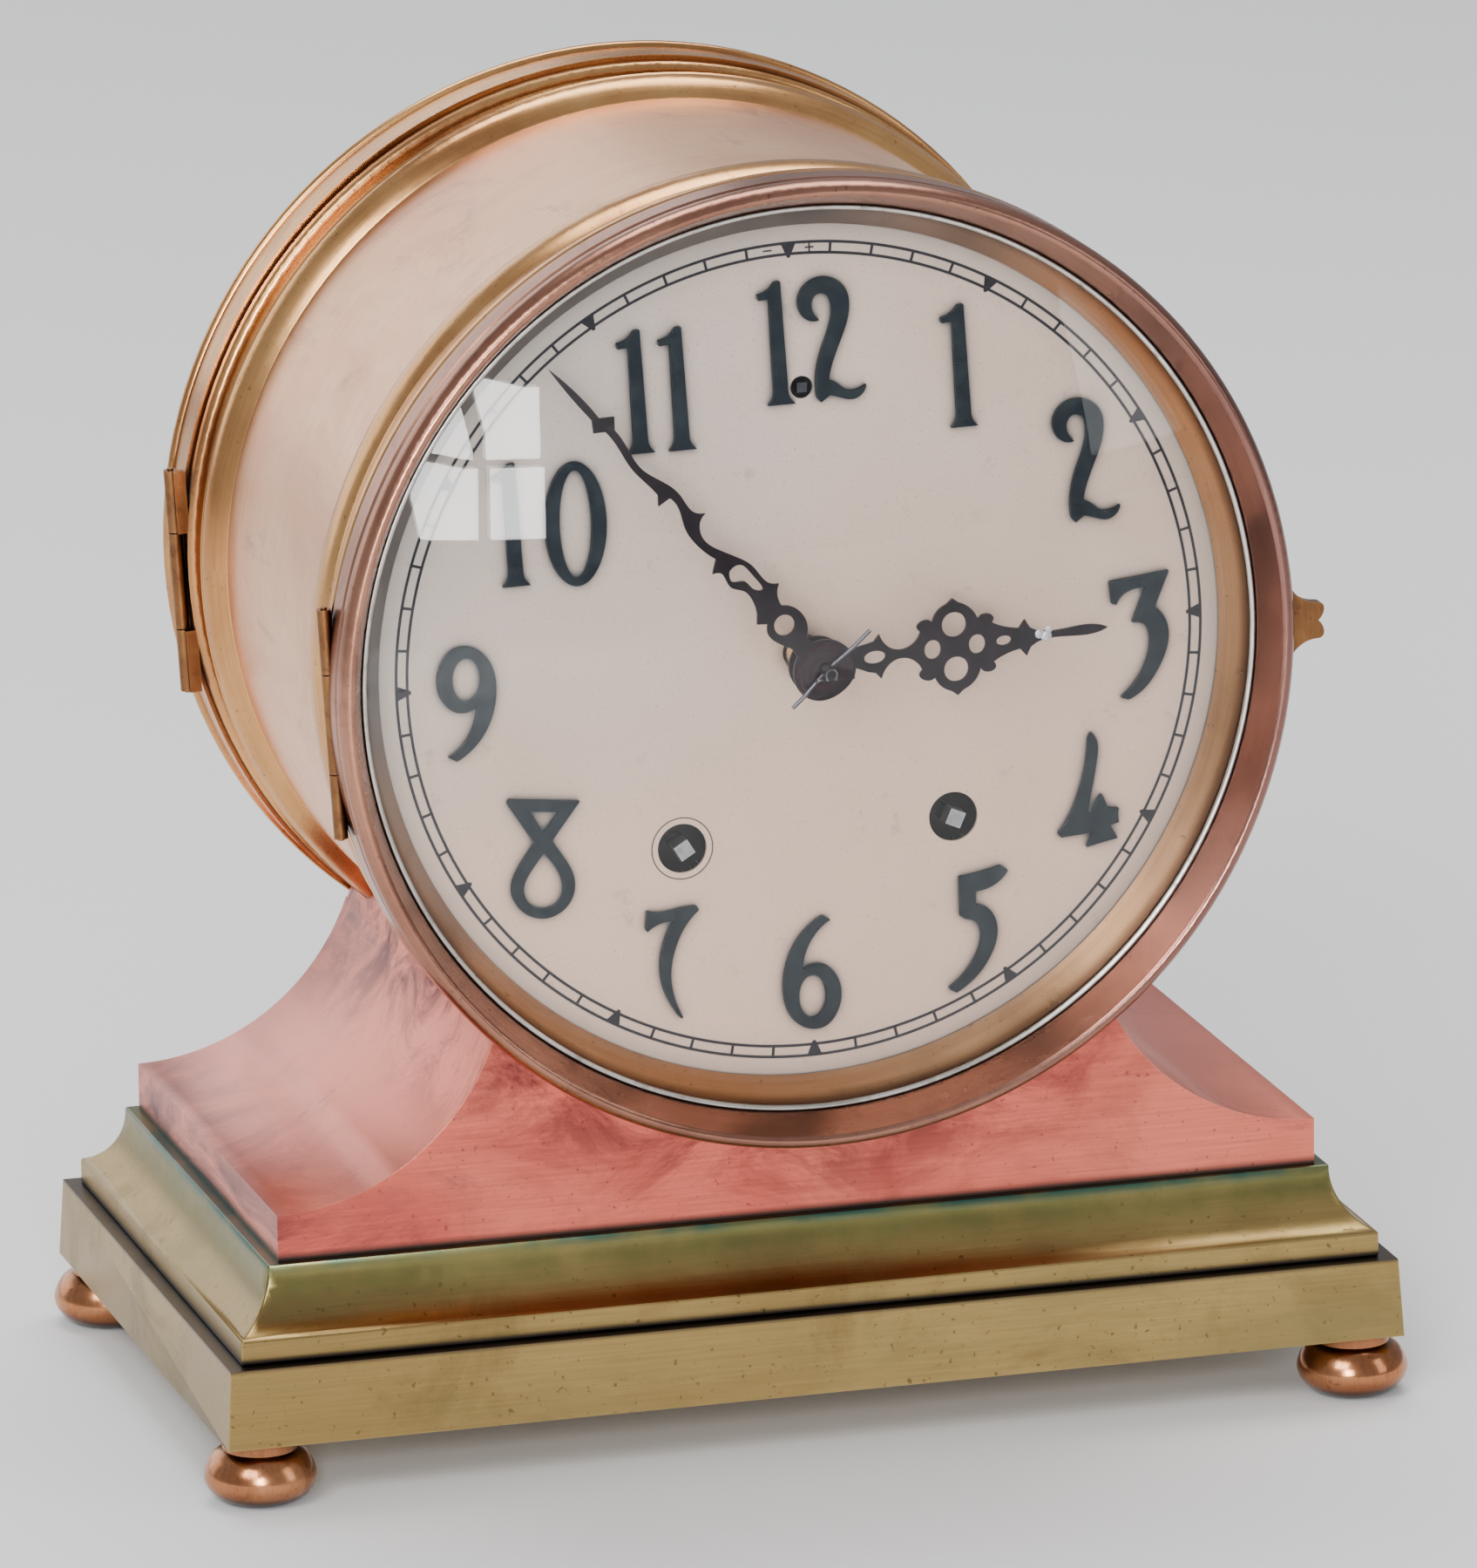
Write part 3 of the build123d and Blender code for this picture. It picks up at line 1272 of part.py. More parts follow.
bell_front, bell_back, bell_wall = plate_back + 8.0, plate_back + 32.0, 1.8
post_radius = 3.0
bell_axis = works(0).from_local_coords(bell_centre)
bell_plane = Plane(origin=(bell_axis.X, 0, bell_axis.Z), x_dir=(1, 0, 0), z_dir=(0, 0, 1))
with BuildPart() as bell:
    with BuildSketch(bell_plane):
        with BuildLine():
            Line((post_radius, bell_back), (12.0, bell_back))
            Spline(
                (12.0, bell_back), (31.0, bell_back - 7.0), (39.0, bell_front + 8.0),
                (bell_radius, bell_front),
            )
            Line((bell_radius, bell_front), (bell_radius - bell_wall, bell_front))
            Spline(
                (bell_radius - bell_wall, bell_front), (37.2, bell_front + 8.0), (29.8, bell_back - 8.4),
                (12.0, bell_back - bell_wall),
            )
            Line((12.0, bell_back - bell_wall), (post_radius, bell_back - bell_wall))
            Line((post_radius, bell_back - bell_wall), (post_radius, bell_back))
        make_face()
    revolve(axis=Axis((bell_axis.X, 0, bell_axis.Z), (0, 1, 0)))
save(bell, "bell")

with BuildPart() as bell_post:
    with BuildSketch(works(bell_back + 3.0)):
        with Locations(bell_centre):
            Circle(post_radius)
    extrude(amount=bell_back + 3.0 - plate_back)
    with BuildSketch(works(bell_back + 3.0)):
        with Locations(bell_centre):
            RegularPolygon(5.5, 6)
    extrude(amount=3.0)
    with BuildSketch(works(bell_back - bell_wall)):
        with Locations(bell_centre):
            Circle(6.0)
    extrude(amount=2.0)
save(bell_post, "bell_post")

# Motion work behind the dial, and what holds the hands.
motion_y = (front_plate_y - 2.1, front_plate_y - 0.9)
hour_y = (front_plate_y - 4.5, front_plate_y - 3.3)
pipe_front = minute_hand_y - 0.8
with BuildPart() as cannon_pinion:
    with BuildSketch(works(motion_y[1])):
        cannon_phase = gap_phase(cannon_teeth, bearing(centre, minute_post))
        Polygon(*tooth_ring(cannon_teeth, motion_module, cannon_phase), align=None)
        Circle(centre_arbor_radius, mode=Mode.SUBTRACT)
    extrude(amount=motion_y[1] - motion_y[0])
    with BuildSketch(works(motion_y[0])):
        Circle(cannon_radius - running)
        Circle(centre_arbor_radius, mode=Mode.SUBTRACT)
    extrude(amount=motion_y[0] - pipe_front)
save(cannon_pinion, "cannon_pinion")

with BuildPart() as minute_wheel:
    toward_centre = bearing(minute_post, centre)
    with BuildSketch(works(motion_y[1])):
        with Locations(minute_post):
            Polygon(*tooth_ring(minute_teeth, motion_module, toward_centre), align=None)
    extrude(amount=motion_y[1] - motion_y[0])
    with BuildSketch(works(motion_y[0])):
        with Locations(minute_post):
            pinion_phase = gap_phase(minute_pinion, toward_centre)
            Polygon(*tooth_ring(minute_pinion, hour_module, pinion_phase), align=None)
    extrude(amount=2.4)
    with BuildSketch(works(motion_y[1])):
        with Locations(minute_post):
            Circle(minute_post_radius + running)
    extrude(amount=6.0, mode=Mode.SUBTRACT)
save(minute_wheel, "minute_wheel")

with BuildPart() as hour_wheel:
    with BuildSketch(works(hour_y[1])):
        Polygon(*tooth_ring(hour_teeth, hour_module, bearing(centre, minute_post)), align=None)
        Circle(cannon_radius, mode=Mode.SUBTRACT)
    extrude(amount=hour_y[1] - hour_y[0])
    with BuildSketch(works(hour_y[0])):
        Circle(hour_pipe_radius)
        Circle(cannon_radius, mode=Mode.SUBTRACT)
    extrude(amount=hour_y[0] - hour_hand_y + hand_thick)
save(hour_wheel, "hour_wheel")

collet_radius = 7.0
with BuildPart() as hand_collet:
    with BuildSketch(works(minute_hand_y - hand_thick)):
        Circle(collet_radius)
        Circle(centre_arbor_radius, mode=Mode.SUBTRACT)
    extrude(amount=1.2, taper=20)
save(hand_collet, "hand_collet")

pin_angle = 41.0
pin_y = minute_hand_y - hand_thick - 2.0
pin_start = works(pin_y).from_local_coords(polar(-12.0, pin_angle))
pin_way = works(pin_y).from_local_coords(polar(14.7, pin_angle)) - pin_start
with BuildPart() as hand_pin:
    with BuildSketch(Plane(origin=pin_start, z_dir=pin_way)):
        Circle(0.5)
    extrude(amount=26.7)
save(hand_pin, "hand_pin")

with BuildPart() as regulator_arbor:
    with BuildSketch(works(front_plate_y + plate_thick + 0.4)):
        with Locations(regulator):
            Circle(1.5)
    extrude(amount=plate_thick + 4.4)
    with BuildSketch(works(front_plate_y - 1.0)):
        with Locations(regulator):
            Circle(5.0)
    extrude(amount=1.2)
    with BuildSketch(works(front_plate_y - 4.0)):
        with Locations(regulator):
            Rectangle(2.4, 2.4)
    extrude(amount=front_plate_y - 4.0 - dial_face + 0.4)
save(regulator_arbor, "regulator_arbor")
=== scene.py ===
import math

import bmesh
import bpy
from mathutils import Matrix, Vector


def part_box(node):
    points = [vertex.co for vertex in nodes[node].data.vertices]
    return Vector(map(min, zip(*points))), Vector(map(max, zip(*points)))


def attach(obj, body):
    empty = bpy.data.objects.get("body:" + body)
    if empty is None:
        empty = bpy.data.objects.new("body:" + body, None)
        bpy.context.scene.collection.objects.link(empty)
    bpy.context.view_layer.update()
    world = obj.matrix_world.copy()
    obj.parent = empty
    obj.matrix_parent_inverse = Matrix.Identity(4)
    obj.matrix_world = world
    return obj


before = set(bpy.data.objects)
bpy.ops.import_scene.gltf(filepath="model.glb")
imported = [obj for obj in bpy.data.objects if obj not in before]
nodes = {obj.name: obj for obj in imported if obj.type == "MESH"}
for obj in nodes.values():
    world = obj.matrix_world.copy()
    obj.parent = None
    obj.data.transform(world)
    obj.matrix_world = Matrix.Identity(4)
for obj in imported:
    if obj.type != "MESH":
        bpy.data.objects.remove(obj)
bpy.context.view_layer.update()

# ---- places taken from the frame, in metres ----
drum_low, drum_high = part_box("drum_shell")
dial_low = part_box("dial")[0]
moulding_low, moulding_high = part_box("base_moulding")
plinth_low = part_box("plinth")[0]
glass_low, glass_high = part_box("glass")
AXIS_Z = (drum_low[2] + drum_high[2]) / 2
DIAL_Y = dial_low[1]
DIAL_TURN = math.radians(1.2)


# ==== camera ====
CAMERA_PLACE = Vector((-0.89191, -3.12238, 1.00608))
CAMERA_YAW, CAMERA_PITCH, CAMERA_ROLL = 0.27932, 0.257494, -0.013214
CAMERA_LENS, CAMERA_SENSOR = 308.82, 36.0


def make_camera():
    """The camera at the left front, a little above the clock and rolled a hair."""
    forward = Vector((
        math.sin(CAMERA_YAW) * math.cos(CAMERA_PITCH),
        math.cos(CAMERA_YAW) * math.cos(CAMERA_PITCH),
        -math.sin(CAMERA_PITCH),
    ))
    level = forward.cross(Vector((0, 0, 1))).normalized()
    upright = level.cross(forward)
    right = math.cos(CAMERA_ROLL) * level + math.sin(CAMERA_ROLL) * upright
    up = math.cos(CAMERA_ROLL) * upright - math.sin(CAMERA_ROLL) * level
    data = bpy.data.cameras.new("view")
    data.lens = CAMERA_LENS
    data.sensor_width = CAMERA_SENSOR
    data.clip_end = 50
    camera = bpy.data.objects.new("view", data)
    turn = Matrix((right, up, -forward)).transposed()
    camera.matrix_world = Matrix.Translation(CAMERA_PLACE) @ turn.to_4x4()
    bpy.context.scene.collection.objects.link(camera)
    bpy.context.scene.camera = camera


make_camera()


# ==== material nodes ====
RING_STRETCH = 0.004


class Shade:
    """A material and the nodes that feed its Principled shader."""

    def __init__(self, name, **constants):
        self.material = bpy.data.materials.new(name)
        self.material.use_nodes = True
        self.tree = self.material.node_tree
        self.tree.nodes.clear()
        self.output = self.tree.nodes.new("ShaderNodeOutputMaterial")
        self.shader = self.tree.nodes.new("ShaderNodeBsdfPrincipled")
        self.tree.links.new(self.shader.outputs[0], self.output.inputs[0])
        self.place = self.tree.nodes.new("ShaderNodeTexCoord").outputs["Object"]
        for name, value in constants.items():
            self.shader.inputs[name.replace("_", " ")].default_value = value
        parts = self.new("ShaderNodeSeparateXYZ", self.place)
        self.x, self.y, self.z = parts.outputs

    def new(self, kind, *inputs, **settings):
        """A node with its inputs filled in order, each by a socket, a number or a colour."""
        node = self.tree.nodes.new(kind)
        for key, value in settings.items():
            setattr(node, key, value)
        for socket, value in zip(node.inputs, inputs):
            self.feed(socket, value)
        return node

    def feed(self, socket, value):
        if value is None:
            return
        if isinstance(value, bpy.types.NodeSocket):
            self.tree.links.new(value, socket)
        elif isinstance(value, tuple) and len(value) == 3 and socket.type == "RGBA":
            socket.default_value = (*value, 1)
        else:
            socket.default_value = value

    def math(self, operation, a, b=None, c=None):
        return self.new("ShaderNodeMath", a, b, c, operation=operation).outputs[0]

    def scaled(self, vector, *scale):
        node = self.new("ShaderNodeVectorMath", vector, scale, operation="MULTIPLY")
        return node.outputs[0]

    def noise(self, scale, detail=4.0, rough=0.55, vector=None, warp=0.0):
        node = self.new("ShaderNodeTexNoise", vector or self.place)
        node.inputs["Scale"].default_value = scale
        node.inputs["Detail"].default_value = detail
        node.inputs["Roughness"].default_value = rough
        node.inputs["Distortion"].default_value = warp
        return node.outputs[0]

    def span(self, value, low, high, out_low=0.0, out_high=1.0):
        """The value's way from low to high, clamped, as a number from out_low to out_high."""
        node = self.new("ShaderNodeMapRange", value, low, high, out_low, out_high)
        return node.outputs[0]

    def mix(self, share, a, b, blend="MIX"):
        node = self.tree.nodes.new("ShaderNodeMix")
        node.data_type = "RGBA"
        node.blend_type = blend
        self.feed(node.inputs["Factor"], share)
        self.feed(node.inputs[6], a)
        self.feed(node.inputs[7], b)
        return node.outputs[2]

    def radius(self):
        """Distance from the drum's axis."""
        height = self.math("SUBTRACT", self.z, AXIS_Z)
        squares = self.math("ADD", self.math("POWER", self.x, 2.0), self.math("POWER", height, 2.0))
        return self.math("SQRT", squares)

    def turning(self):
        """Coordinates that run along a turned surface's section, so that noise makes rings round it."""
        height = self.math("SUBTRACT", self.z, AXIS_Z)
        angle = self.math("ARCTAN2", height, self.x)
        round_it = self.math("MULTIPLY", angle, RING_STRETCH)
        return self.new("ShaderNodeCombineXYZ", self.radius(), self.y, round_it).outputs[0]

    def occlusion_shade(self, distance, low=0.35, high=0.85):
        """Painted shade: 1 in grooves and corners, where little light reaches, 0 on open faces."""
        node = self.tree.nodes.new("ShaderNodeAmbientOcclusion")
        node.samples = 8
        node.inputs["Distance"].default_value = distance
        return self.span(node.outputs["AO"], low, high, 1.0, 0.0)

    def edge(self, radius, low=0.02, high=0.30):
        """1 on a sharp edge, 0 on a flat face."""
        bevel = self.tree.nodes.new("ShaderNodeBevel")
        bevel.samples = 6
        bevel.inputs["Radius"].default_value = radius
        normal = self.tree.nodes.new("ShaderNodeNewGeometry").outputs["Normal"]
        dot = self.new("ShaderNodeVectorMath", bevel.outputs[0], normal, operation="DOT_PRODUCT")
        return self.span(self.math("SUBTRACT", 1.0, dot.outputs["Value"]), low, high)

    def bump(self, height, strength, distance=0.0004):
        node = self.tree.nodes.new("ShaderNodeBump")
        node.inputs["Strength"].default_value = strength
        node.inputs["Distance"].default_value = distance
        self.feed(node.inputs["Height"], height)
        self.feed(self.shader.inputs["Normal"], node.outputs[0])

    def finish(self, colour, roughness):
        self.feed(self.shader.inputs["Base Color"], colour)
        self.feed(self.shader.inputs["Roughness"], roughness)
        return self.material


def brush(shade, lengthwise):
    """Fine polishing lines: streaks along one axis, or rings round the drum."""
    if lengthwise == "ring":
        return shade.noise(900, 3, 0.6, shade.turning())
    stretch = {"x": (0.03, 1, 1), "y": (1, 0.03, 1), "z": (1, 1, 0.03)}[lengthwise]
    return shade.noise(1500, 3, 0.6, shade.scaled(shade.place, *stretch))


def old_metal(
    name, light, mid, dark, rough=0.34, lengthwise="x", cloud=14, patina=0.5, wear=True, grit=0.5, groove_shade_colour=None
):
    """Aged hand-rubbed metal: clouds of tarnish, fine brush lines, painted shade in the grooves and bright
    worn edges.
    """
    shade = Shade(name, Metallic=1.0)
    clouds = shade.noise(cloud, 6, 0.6, warp=0.4)
    tone = shade.mix(shade.span(clouds, 0.38, 0.62), mid, light)
    blotch = shade.noise(cloud * 2.3, 8, 0.68, warp=0.8)
    stain = shade.math("MULTIPLY", shade.span(blotch, 0.54, 0.70), patina)
    tone = shade.mix(stain, tone, dark)
    lines = brush(shade, lengthwise)
    tone = shade.mix(shade.span(lines, 0.35, 0.7, 0.0, 0.22), tone, dark)
    freckle = shade.noise(620, 2, 0.5)
    tone = shade.mix(shade.span(freckle, 0.66, 0.74, 0.0, grit), tone, dark)
    # Painted shade: grooves and corners are darkened by an occlusion mask, each metal with its own dark tint.
    tone = shade.mix(shade.occlusion_shade(0.004), tone, groove_shade_colour or tuple(c * 0.28 for c in dark))
    if wear:
        worn = shade.math("MULTIPLY", shade.edge(0.0009), 0.6)
        tone = shade.mix(worn, tone, tuple(min(1, c * 1.25) for c in light))
    polish = shade.span(clouds, 0.3, 0.7, rough - 0.05, rough + 0.08)
    roughness = shade.math("ADD", polish, shade.math("MULTIPLY", stain, 0.2))
    shade.bump(lines, 0.10, 0.0002)
    return shade, tone, roughness


# ==== metals of the case ====
VERDIGRIS = (0.05, 0.12, 0.09)


def under_bezel(shade, low, high, inner=0.119, outer=0.152):
    """Dark streaky patches on the metal close to the bezel, fading out away from it."""
    smear = shade.noise(42, 9, 0.72, shade.scaled(shade.place, 0.55, 1, 1), warp=1.2)
    near = shade.span(shade.radius(), outer, inner)
    return shade.math("MULTIPLY", shade.span(smear, low, high), near)


def rosy_copper():
    """The plinth: red in front, with a painted sheen making the swept flanks paler, and darker streaky
    patches by the bezel and at the low left corner.
    """
    shade, tone, roughness = old_metal(
        "rosy_copper", (0.90, 0.235, 0.16), (0.76, 0.155, 0.11), (0.14, 0.03, 0.034),
        rough=0.36, cloud=9, patina=0.25, groove_shade_colour=(0.04, 0.02, 0.02))
    facing = shade.tree.nodes.new("ShaderNodeNewGeometry").outputs["Normal"]
    sideways = shade.new("ShaderNodeSeparateXYZ", facing).outputs
    # Painted sheen: faces that look sideways rather than to the front are painted paler.
    flank_sheen = shade.span(shade.math("ABSOLUTE", sideways[1]), 0.5, 0.1)
    tone = shade.mix(shade.math("MULTIPLY", flank_sheen, 0.60), tone, (0.97, 0.36, 0.27))
    tone = shade.mix(under_bezel(shade, 0.44, 0.60), tone, (0.11, 0.025, 0.03))
    corner = shade.span(shade.x, plinth_low[0] + 0.055, plinth_low[0])
    foot = shade.span(shade.z, plinth_low[2] + 0.022, plinth_low[2] + 0.004)
    streak = shade.noise(26, 9, 0.75, shade.scaled(shade.place, 0.5, 0.6, 1.5), warp=1.8)
    # Darker streaks towards the bottom of the left corner.
    low_corner_dark = shade.math("MULTIPLY", shade.math("MULTIPLY", corner, foot), shade.span(streak, 0.36, 0.58))
    tone = shade.mix(low_corner_dark, tone, (0.14, 0.035, 0.045))
    tone = shade.mix(shade.span(streak, 0.60, 0.72, 0.0, 0.62), tone, (0.24, 0.075, 0.10))
    seam = shade.span(shade.z, plinth_low[2] + 0.0022, plinth_low[2] + 0.0006)
    tone = shade.mix(shade.math("MULTIPLY", seam, 0.8), tone, (0.03, 0.045, 0.04))
    return shade.finish(tone, roughness)


def pink_drum():
    """The drum: pale pink copper with soft drifting streaks and purple-grey smears."""
    shade, tone, roughness = old_metal(
        "pink_drum", (1.0, 0.66, 0.42), (1.0, 0.52, 0.31), (0.60, 0.22, 0.12),
        rough=0.33, cloud=7, patina=0.22, lengthwise="ring", grit=0.25, groove_shade_colour=(0.30, 0.15, 0.05))
    drift = shade.noise(16, 7, 0.7, shade.scaled(shade.place, 1, 0.35, 1), warp=1.2)
    tone = shade.mix(shade.span(drift, 0.52, 0.72, 0.0, 0.55), tone, (0.78, 0.34, 0.25))
    smear = shade.noise(30, 8, 0.72, shade.scaled(shade.place, 1, 0.6, 1), warp=1.5)
    tone = shade.mix(shade.span(smear, 0.56, 0.70, 0.0, 0.50), tone, (0.36, 0.19, 0.19))
    edge = shade.math("ABSOLUTE", shade.math("SUBTRACT", shade.y, (drum_low[1] + drum_high[1]) / 2 - 0.001))
    tide = shade.math("MULTIPLY", shade.span(edge, 0.040, 0.052), shade.span(shade.noise(50, 6), 0.36, 0.62))
    tone = shade.mix(shade.math("MULTIPLY", tide, 0.6), tone, (0.40, 0.22, 0.08))
    return shade.finish(tone, roughness)


def base_brass():
    """The slab and moulding: olive-gold brass, greener and darker in the hollow's upper half."""
    shade, tone, roughness = old_metal(
        "base_brass", (0.46, 0.32, 0.12), (0.35, 0.235, 0.085), (0.11, 0.075, 0.028),
        rough=0.31, cloud=8, patina=0.40, lengthwise="x", grit=0.7, groove_shade_colour=(0.03, 0.025, 0.022))
    long_clouds = shade.noise(20, 7, 0.7, shade.scaled(shade.place, 0.35, 0.35, 1.4), warp=0.6)
    tone = shade.mix(shade.span(long_clouds, 0.46, 0.66, 0.0, 0.55), tone, (0.25, 0.205, 0.085))
    top = shade.span(shade.z, moulding_low[2] + 0.0105, moulding_low[2] + 0.0165)
    mottled = shade.math("MULTIPLY", top, shade.span(shade.noise(60, 6, 0.65), 0.35, 0.6, 0.60, 1.0))
    tone = shade.mix(mottled, tone, (0.19, 0.175, 0.06))
    crown = shade.span(shade.z, moulding_high[2] - 0.0030, moulding_high[2] - 0.0004)
    crust = shade.span(shade.noise(45, 4), 0.40, 0.56, 0.35, 1.0)
    tone = shade.mix(shade.math("MULTIPLY", crown, crust), tone, VERDIGRIS)
    cove_foot = shade.math("ABSOLUTE", shade.math("SUBTRACT", shade.z, moulding_low[2] + 0.0004))
    tone = shade.mix(shade.span(cove_foot, 0.0014, 0.0004, 0.0, 0.85), tone, (0.035, 0.03, 0.035))
    return shade.finish(tone, roughness)


def bead_brass():
    """The collars' rolls and hollows, turned, gold on the crests, with brown painted shade in the hollows."""
    shade, tone, roughness = old_metal(
        "bead_brass", (0.84, 0.46, 0.18), (0.62, 0.29, 0.11), (0.18, 0.07, 0.035),
        rough=0.23, cloud=12, patina=0.35, lengthwise="ring", groove_shade_colour=(0.06, 0.025, 0.015))
    # Painted shade: the hollows are darkened to brown by an occlusion mask.
    hollow = shade.occlusion_shade(0.012, 0.30, 0.80)
    return shade.finish(shade.mix(shade.math("MULTIPLY", hollow, 0.7), tone, (0.17, 0.065, 0.035)), roughness)


def bezel_bronze():
    """The bezel: red-brown bronze, with painted shade towards the right and in its turned steps."""
    shade, tone, roughness = old_metal(
        "bezel_bronze", (0.52, 0.25, 0.165), (0.34, 0.15, 0.10), (0.085, 0.038, 0.034),
        rough=0.24, cloud=11, patina=0.45, lengthwise="ring", groove_shade_colour=(0.05, 0.022, 0.018))
    # Painted shade: the bezel is darkened towards its right side.
    across = shade.span(shade.x, -0.06, 0.12, 0.0, 0.55)
    tone = shade.mix(across, tone, (0.17, 0.09, 0.09))
    return shade.finish(tone, roughness)


def foot_copper():
    """The feet: polished copper, with painted shade at the bottom and at the neck."""
    shade, tone, roughness = old_metal(
        "foot_copper", (0.66, 0.30, 0.14), (0.50, 0.20, 0.09), (0.10, 0.03, 0.015),
        rough=0.20, cloud=30, patina=0.45, lengthwise="z", groove_shade_colour=(0.03, 0.015, 0.01))
    # Painted shade: the feet are darkened towards their undersides.
    underside_shade = shade.span(shade.z, 0.006, 0.0005, 0.0, 0.85)
    return shade.finish(shade.mix(underside_shade, tone, (0.06, 0.025, 0.02)), roughness)


def reflector_gilt():
    """The sloping ring round the dial: silver-grey at the upper left, golden brown at the lower right."""
    shade, tone, roughness = old_metal(
        "reflector_gilt", (0.62, 0.36, 0.19), (0.47, 0.26, 0.135), (0.15, 0.08, 0.045),
        rough=0.30, cloud=14, patina=0.28, lengthwise="ring", wear=False, groove_shade_colour=(0.10, 0.05, 0.03))
    slope = shade.math("SUBTRACT", shade.math("SUBTRACT", shade.z, AXIS_Z), shade.x)
    patch = shade.math("ADD", slope, shade.math("MULTIPLY", shade.noise(18, 5), 0.05))
    silver = shade.span(patch, 0.02, 0.13, 0.0, 0.85)
    return shade.finish(shade.mix(silver, tone, (0.17, 0.20, 0.225)), roughness)


def dull_silver():
    shade, tone, roughness = old_metal(
        "dull_silver", (0.80, 0.79, 0.75), (0.60, 0.58, 0.53), (0.13, 0.12, 0.10),
        rough=0.30, cloud=40, patina=0.7, lengthwise="ring", groove_shade_colour=(0.06, 0.05, 0.045))
    return shade.finish(tone, roughness)


def hinge_brass():
    shade, tone, roughness = old_metal(
        "hinge_brass", (0.32, 0.155, 0.06), (0.20, 0.085, 0.036), (0.055, 0.024, 0.016),
        rough=0.30, cloud=60, patina=0.7, lengthwise="z", groove_shade_colour=(0.03, 0.015, 0.012))
    return shade.finish(tone, roughness)


# ==== dial, hands and glass ====
def dial_silver():
    """Silvered and lacquered, finely speckled, with a painted reflection of the room, warm below and cooler
    above and at the left, and painted shade in its corners.
    """
    shade = Shade("dial_silver", Metallic=0.45)
    clouds = shade.noise(10, 5, 0.55, warp=0.3)
    # Painted reflection of the room in the glass: warm below, cooler above and at the left.
    height = shade.span(shade.z, AXIS_Z - 0.05, AXIS_Z + 0.05)
    tone = shade.mix(height, (0.60, 0.41, 0.315), (0.56, 0.43, 0.36))
    cool_reflection = shade.math("MULTIPLY", height, shade.span(shade.x, 0.01, -0.09))
    tone = shade.mix(shade.math("MULTIPLY", cool_reflection, 0.8), tone, (0.35, 0.345, 0.345))
    tone = shade.mix(shade.span(clouds, 0.36, 0.66, 0.0, 0.45), tone, (0.42, 0.30, 0.215))
    speck = shade.noise(1400, 2, 0.5)
    tone = shade.mix(shade.span(speck, 0.60, 0.76, 0.0, 0.50), tone, (0.15, 0.10, 0.08))
    stain = shade.noise(120, 6, 0.7)
    tone = shade.mix(shade.span(stain, 0.62, 0.74, 0.0, 0.40), tone, (0.20, 0.14, 0.11))
    rim = shade.span(shade.radius(), 0.094, 0.108)
    tone = shade.mix(shade.math("MULTIPLY", rim, 0.5), tone, (0.26, 0.235, 0.21))
    # Painted shade: the dial goes near black round what stands on it and in its corners.
    tone = shade.mix(shade.occlusion_shade(0.0045, 0.45, 0.97), tone, (0.05, 0.055, 0.06))
    shade.bump(speck, 0.05, 0.0002)
    return shade.finish(tone, shade.span(clouds, 0.3, 0.7, 0.38, 0.50))


def numeral_paint():
    shade = Shade("numeral_paint", Metallic=0.1, Specular_IOR_Level=0.12)
    clouds = shade.span(shade.noise(260, 5, 0.6), 0.4, 0.65)
    tone = shade.mix(clouds, (0.003, 0.006, 0.010), (0.011, 0.017, 0.020))
    shade.bump(shade.noise(900, 2), 0.06, 0.0002)
    return shade.finish(tone, shade.span(shade.noise(180), 0.3, 0.7, 0.38, 0.55))


def dial_ink():
    shade = Shade("dial_ink", Specular_IOR_Level=0.1)
    tone = shade.mix(shade.noise(500, 4), (0.004, 0.004, 0.008), (0.022, 0.020, 0.024))
    return shade.finish(tone, shade.span(shade.noise(300), 0.3, 0.7, 0.5, 0.65))


def hand_black():
    shade = Shade("hand_black", Metallic=0.1, Specular_IOR_Level=0.12)
    clouds = shade.span(shade.noise(220, 5, 0.6), 0.42, 0.66)
    tone = shade.mix(clouds, (0.002, 0.0008, 0.002), (0.008, 0.003, 0.006))
    tone = shade.mix(shade.math("MULTIPLY", shade.edge(0.0004), 0.25), tone, (0.10, 0.04, 0.05))
    shade.bump(shade.noise(700, 3), 0.08, 0.0002)
    return shade.finish(tone, shade.span(shade.noise(150), 0.3, 0.7, 0.34, 0.50))


def collet_red():
    shade = Shade("collet_red", Metallic=0.1, Specular_IOR_Level=0.2)
    rings = shade.math("SINE", shade.math("MULTIPLY", shade.radius(), 3000))
    tone = shade.mix(shade.span(rings, 0.1, 0.9, 0.0, 0.6), (0.004, 0.001, 0.003), (0.030, 0.006, 0.010))
    shade.bump(rings, 0.15, 0.0002)
    return shade.finish(tone, shade.span(shade.noise(260), 0.3, 0.7, 0.30, 0.44))


def clear_glass():
    """Glass that bends what is behind it and lets the lamps through."""
    shade = Shade("clear_glass", Transmission_Weight=1.0, IOR=1.33)
    tone = shade.mix(shade.noise(20, 3), (0.985, 0.99, 0.985), (0.955, 0.97, 0.965))
    dust = shade.noise(900, 3, 0.7)
    shade.finish(tone, shade.span(dust, 0.66, 0.80, 0.0, 0.03))
    clear = shade.tree.nodes.new("ShaderNodeBsdfTransparent")
    lamp = shade.tree.nodes.new("ShaderNodeLightPath").outputs["Is Shadow Ray"]
    both = shade.new("ShaderNodeMixShader", lamp, shade.shader.outputs[0], clear.outputs[0])
    shade.tree.links.new(both.outputs[0], shade.output.inputs[0])
    return shade.material


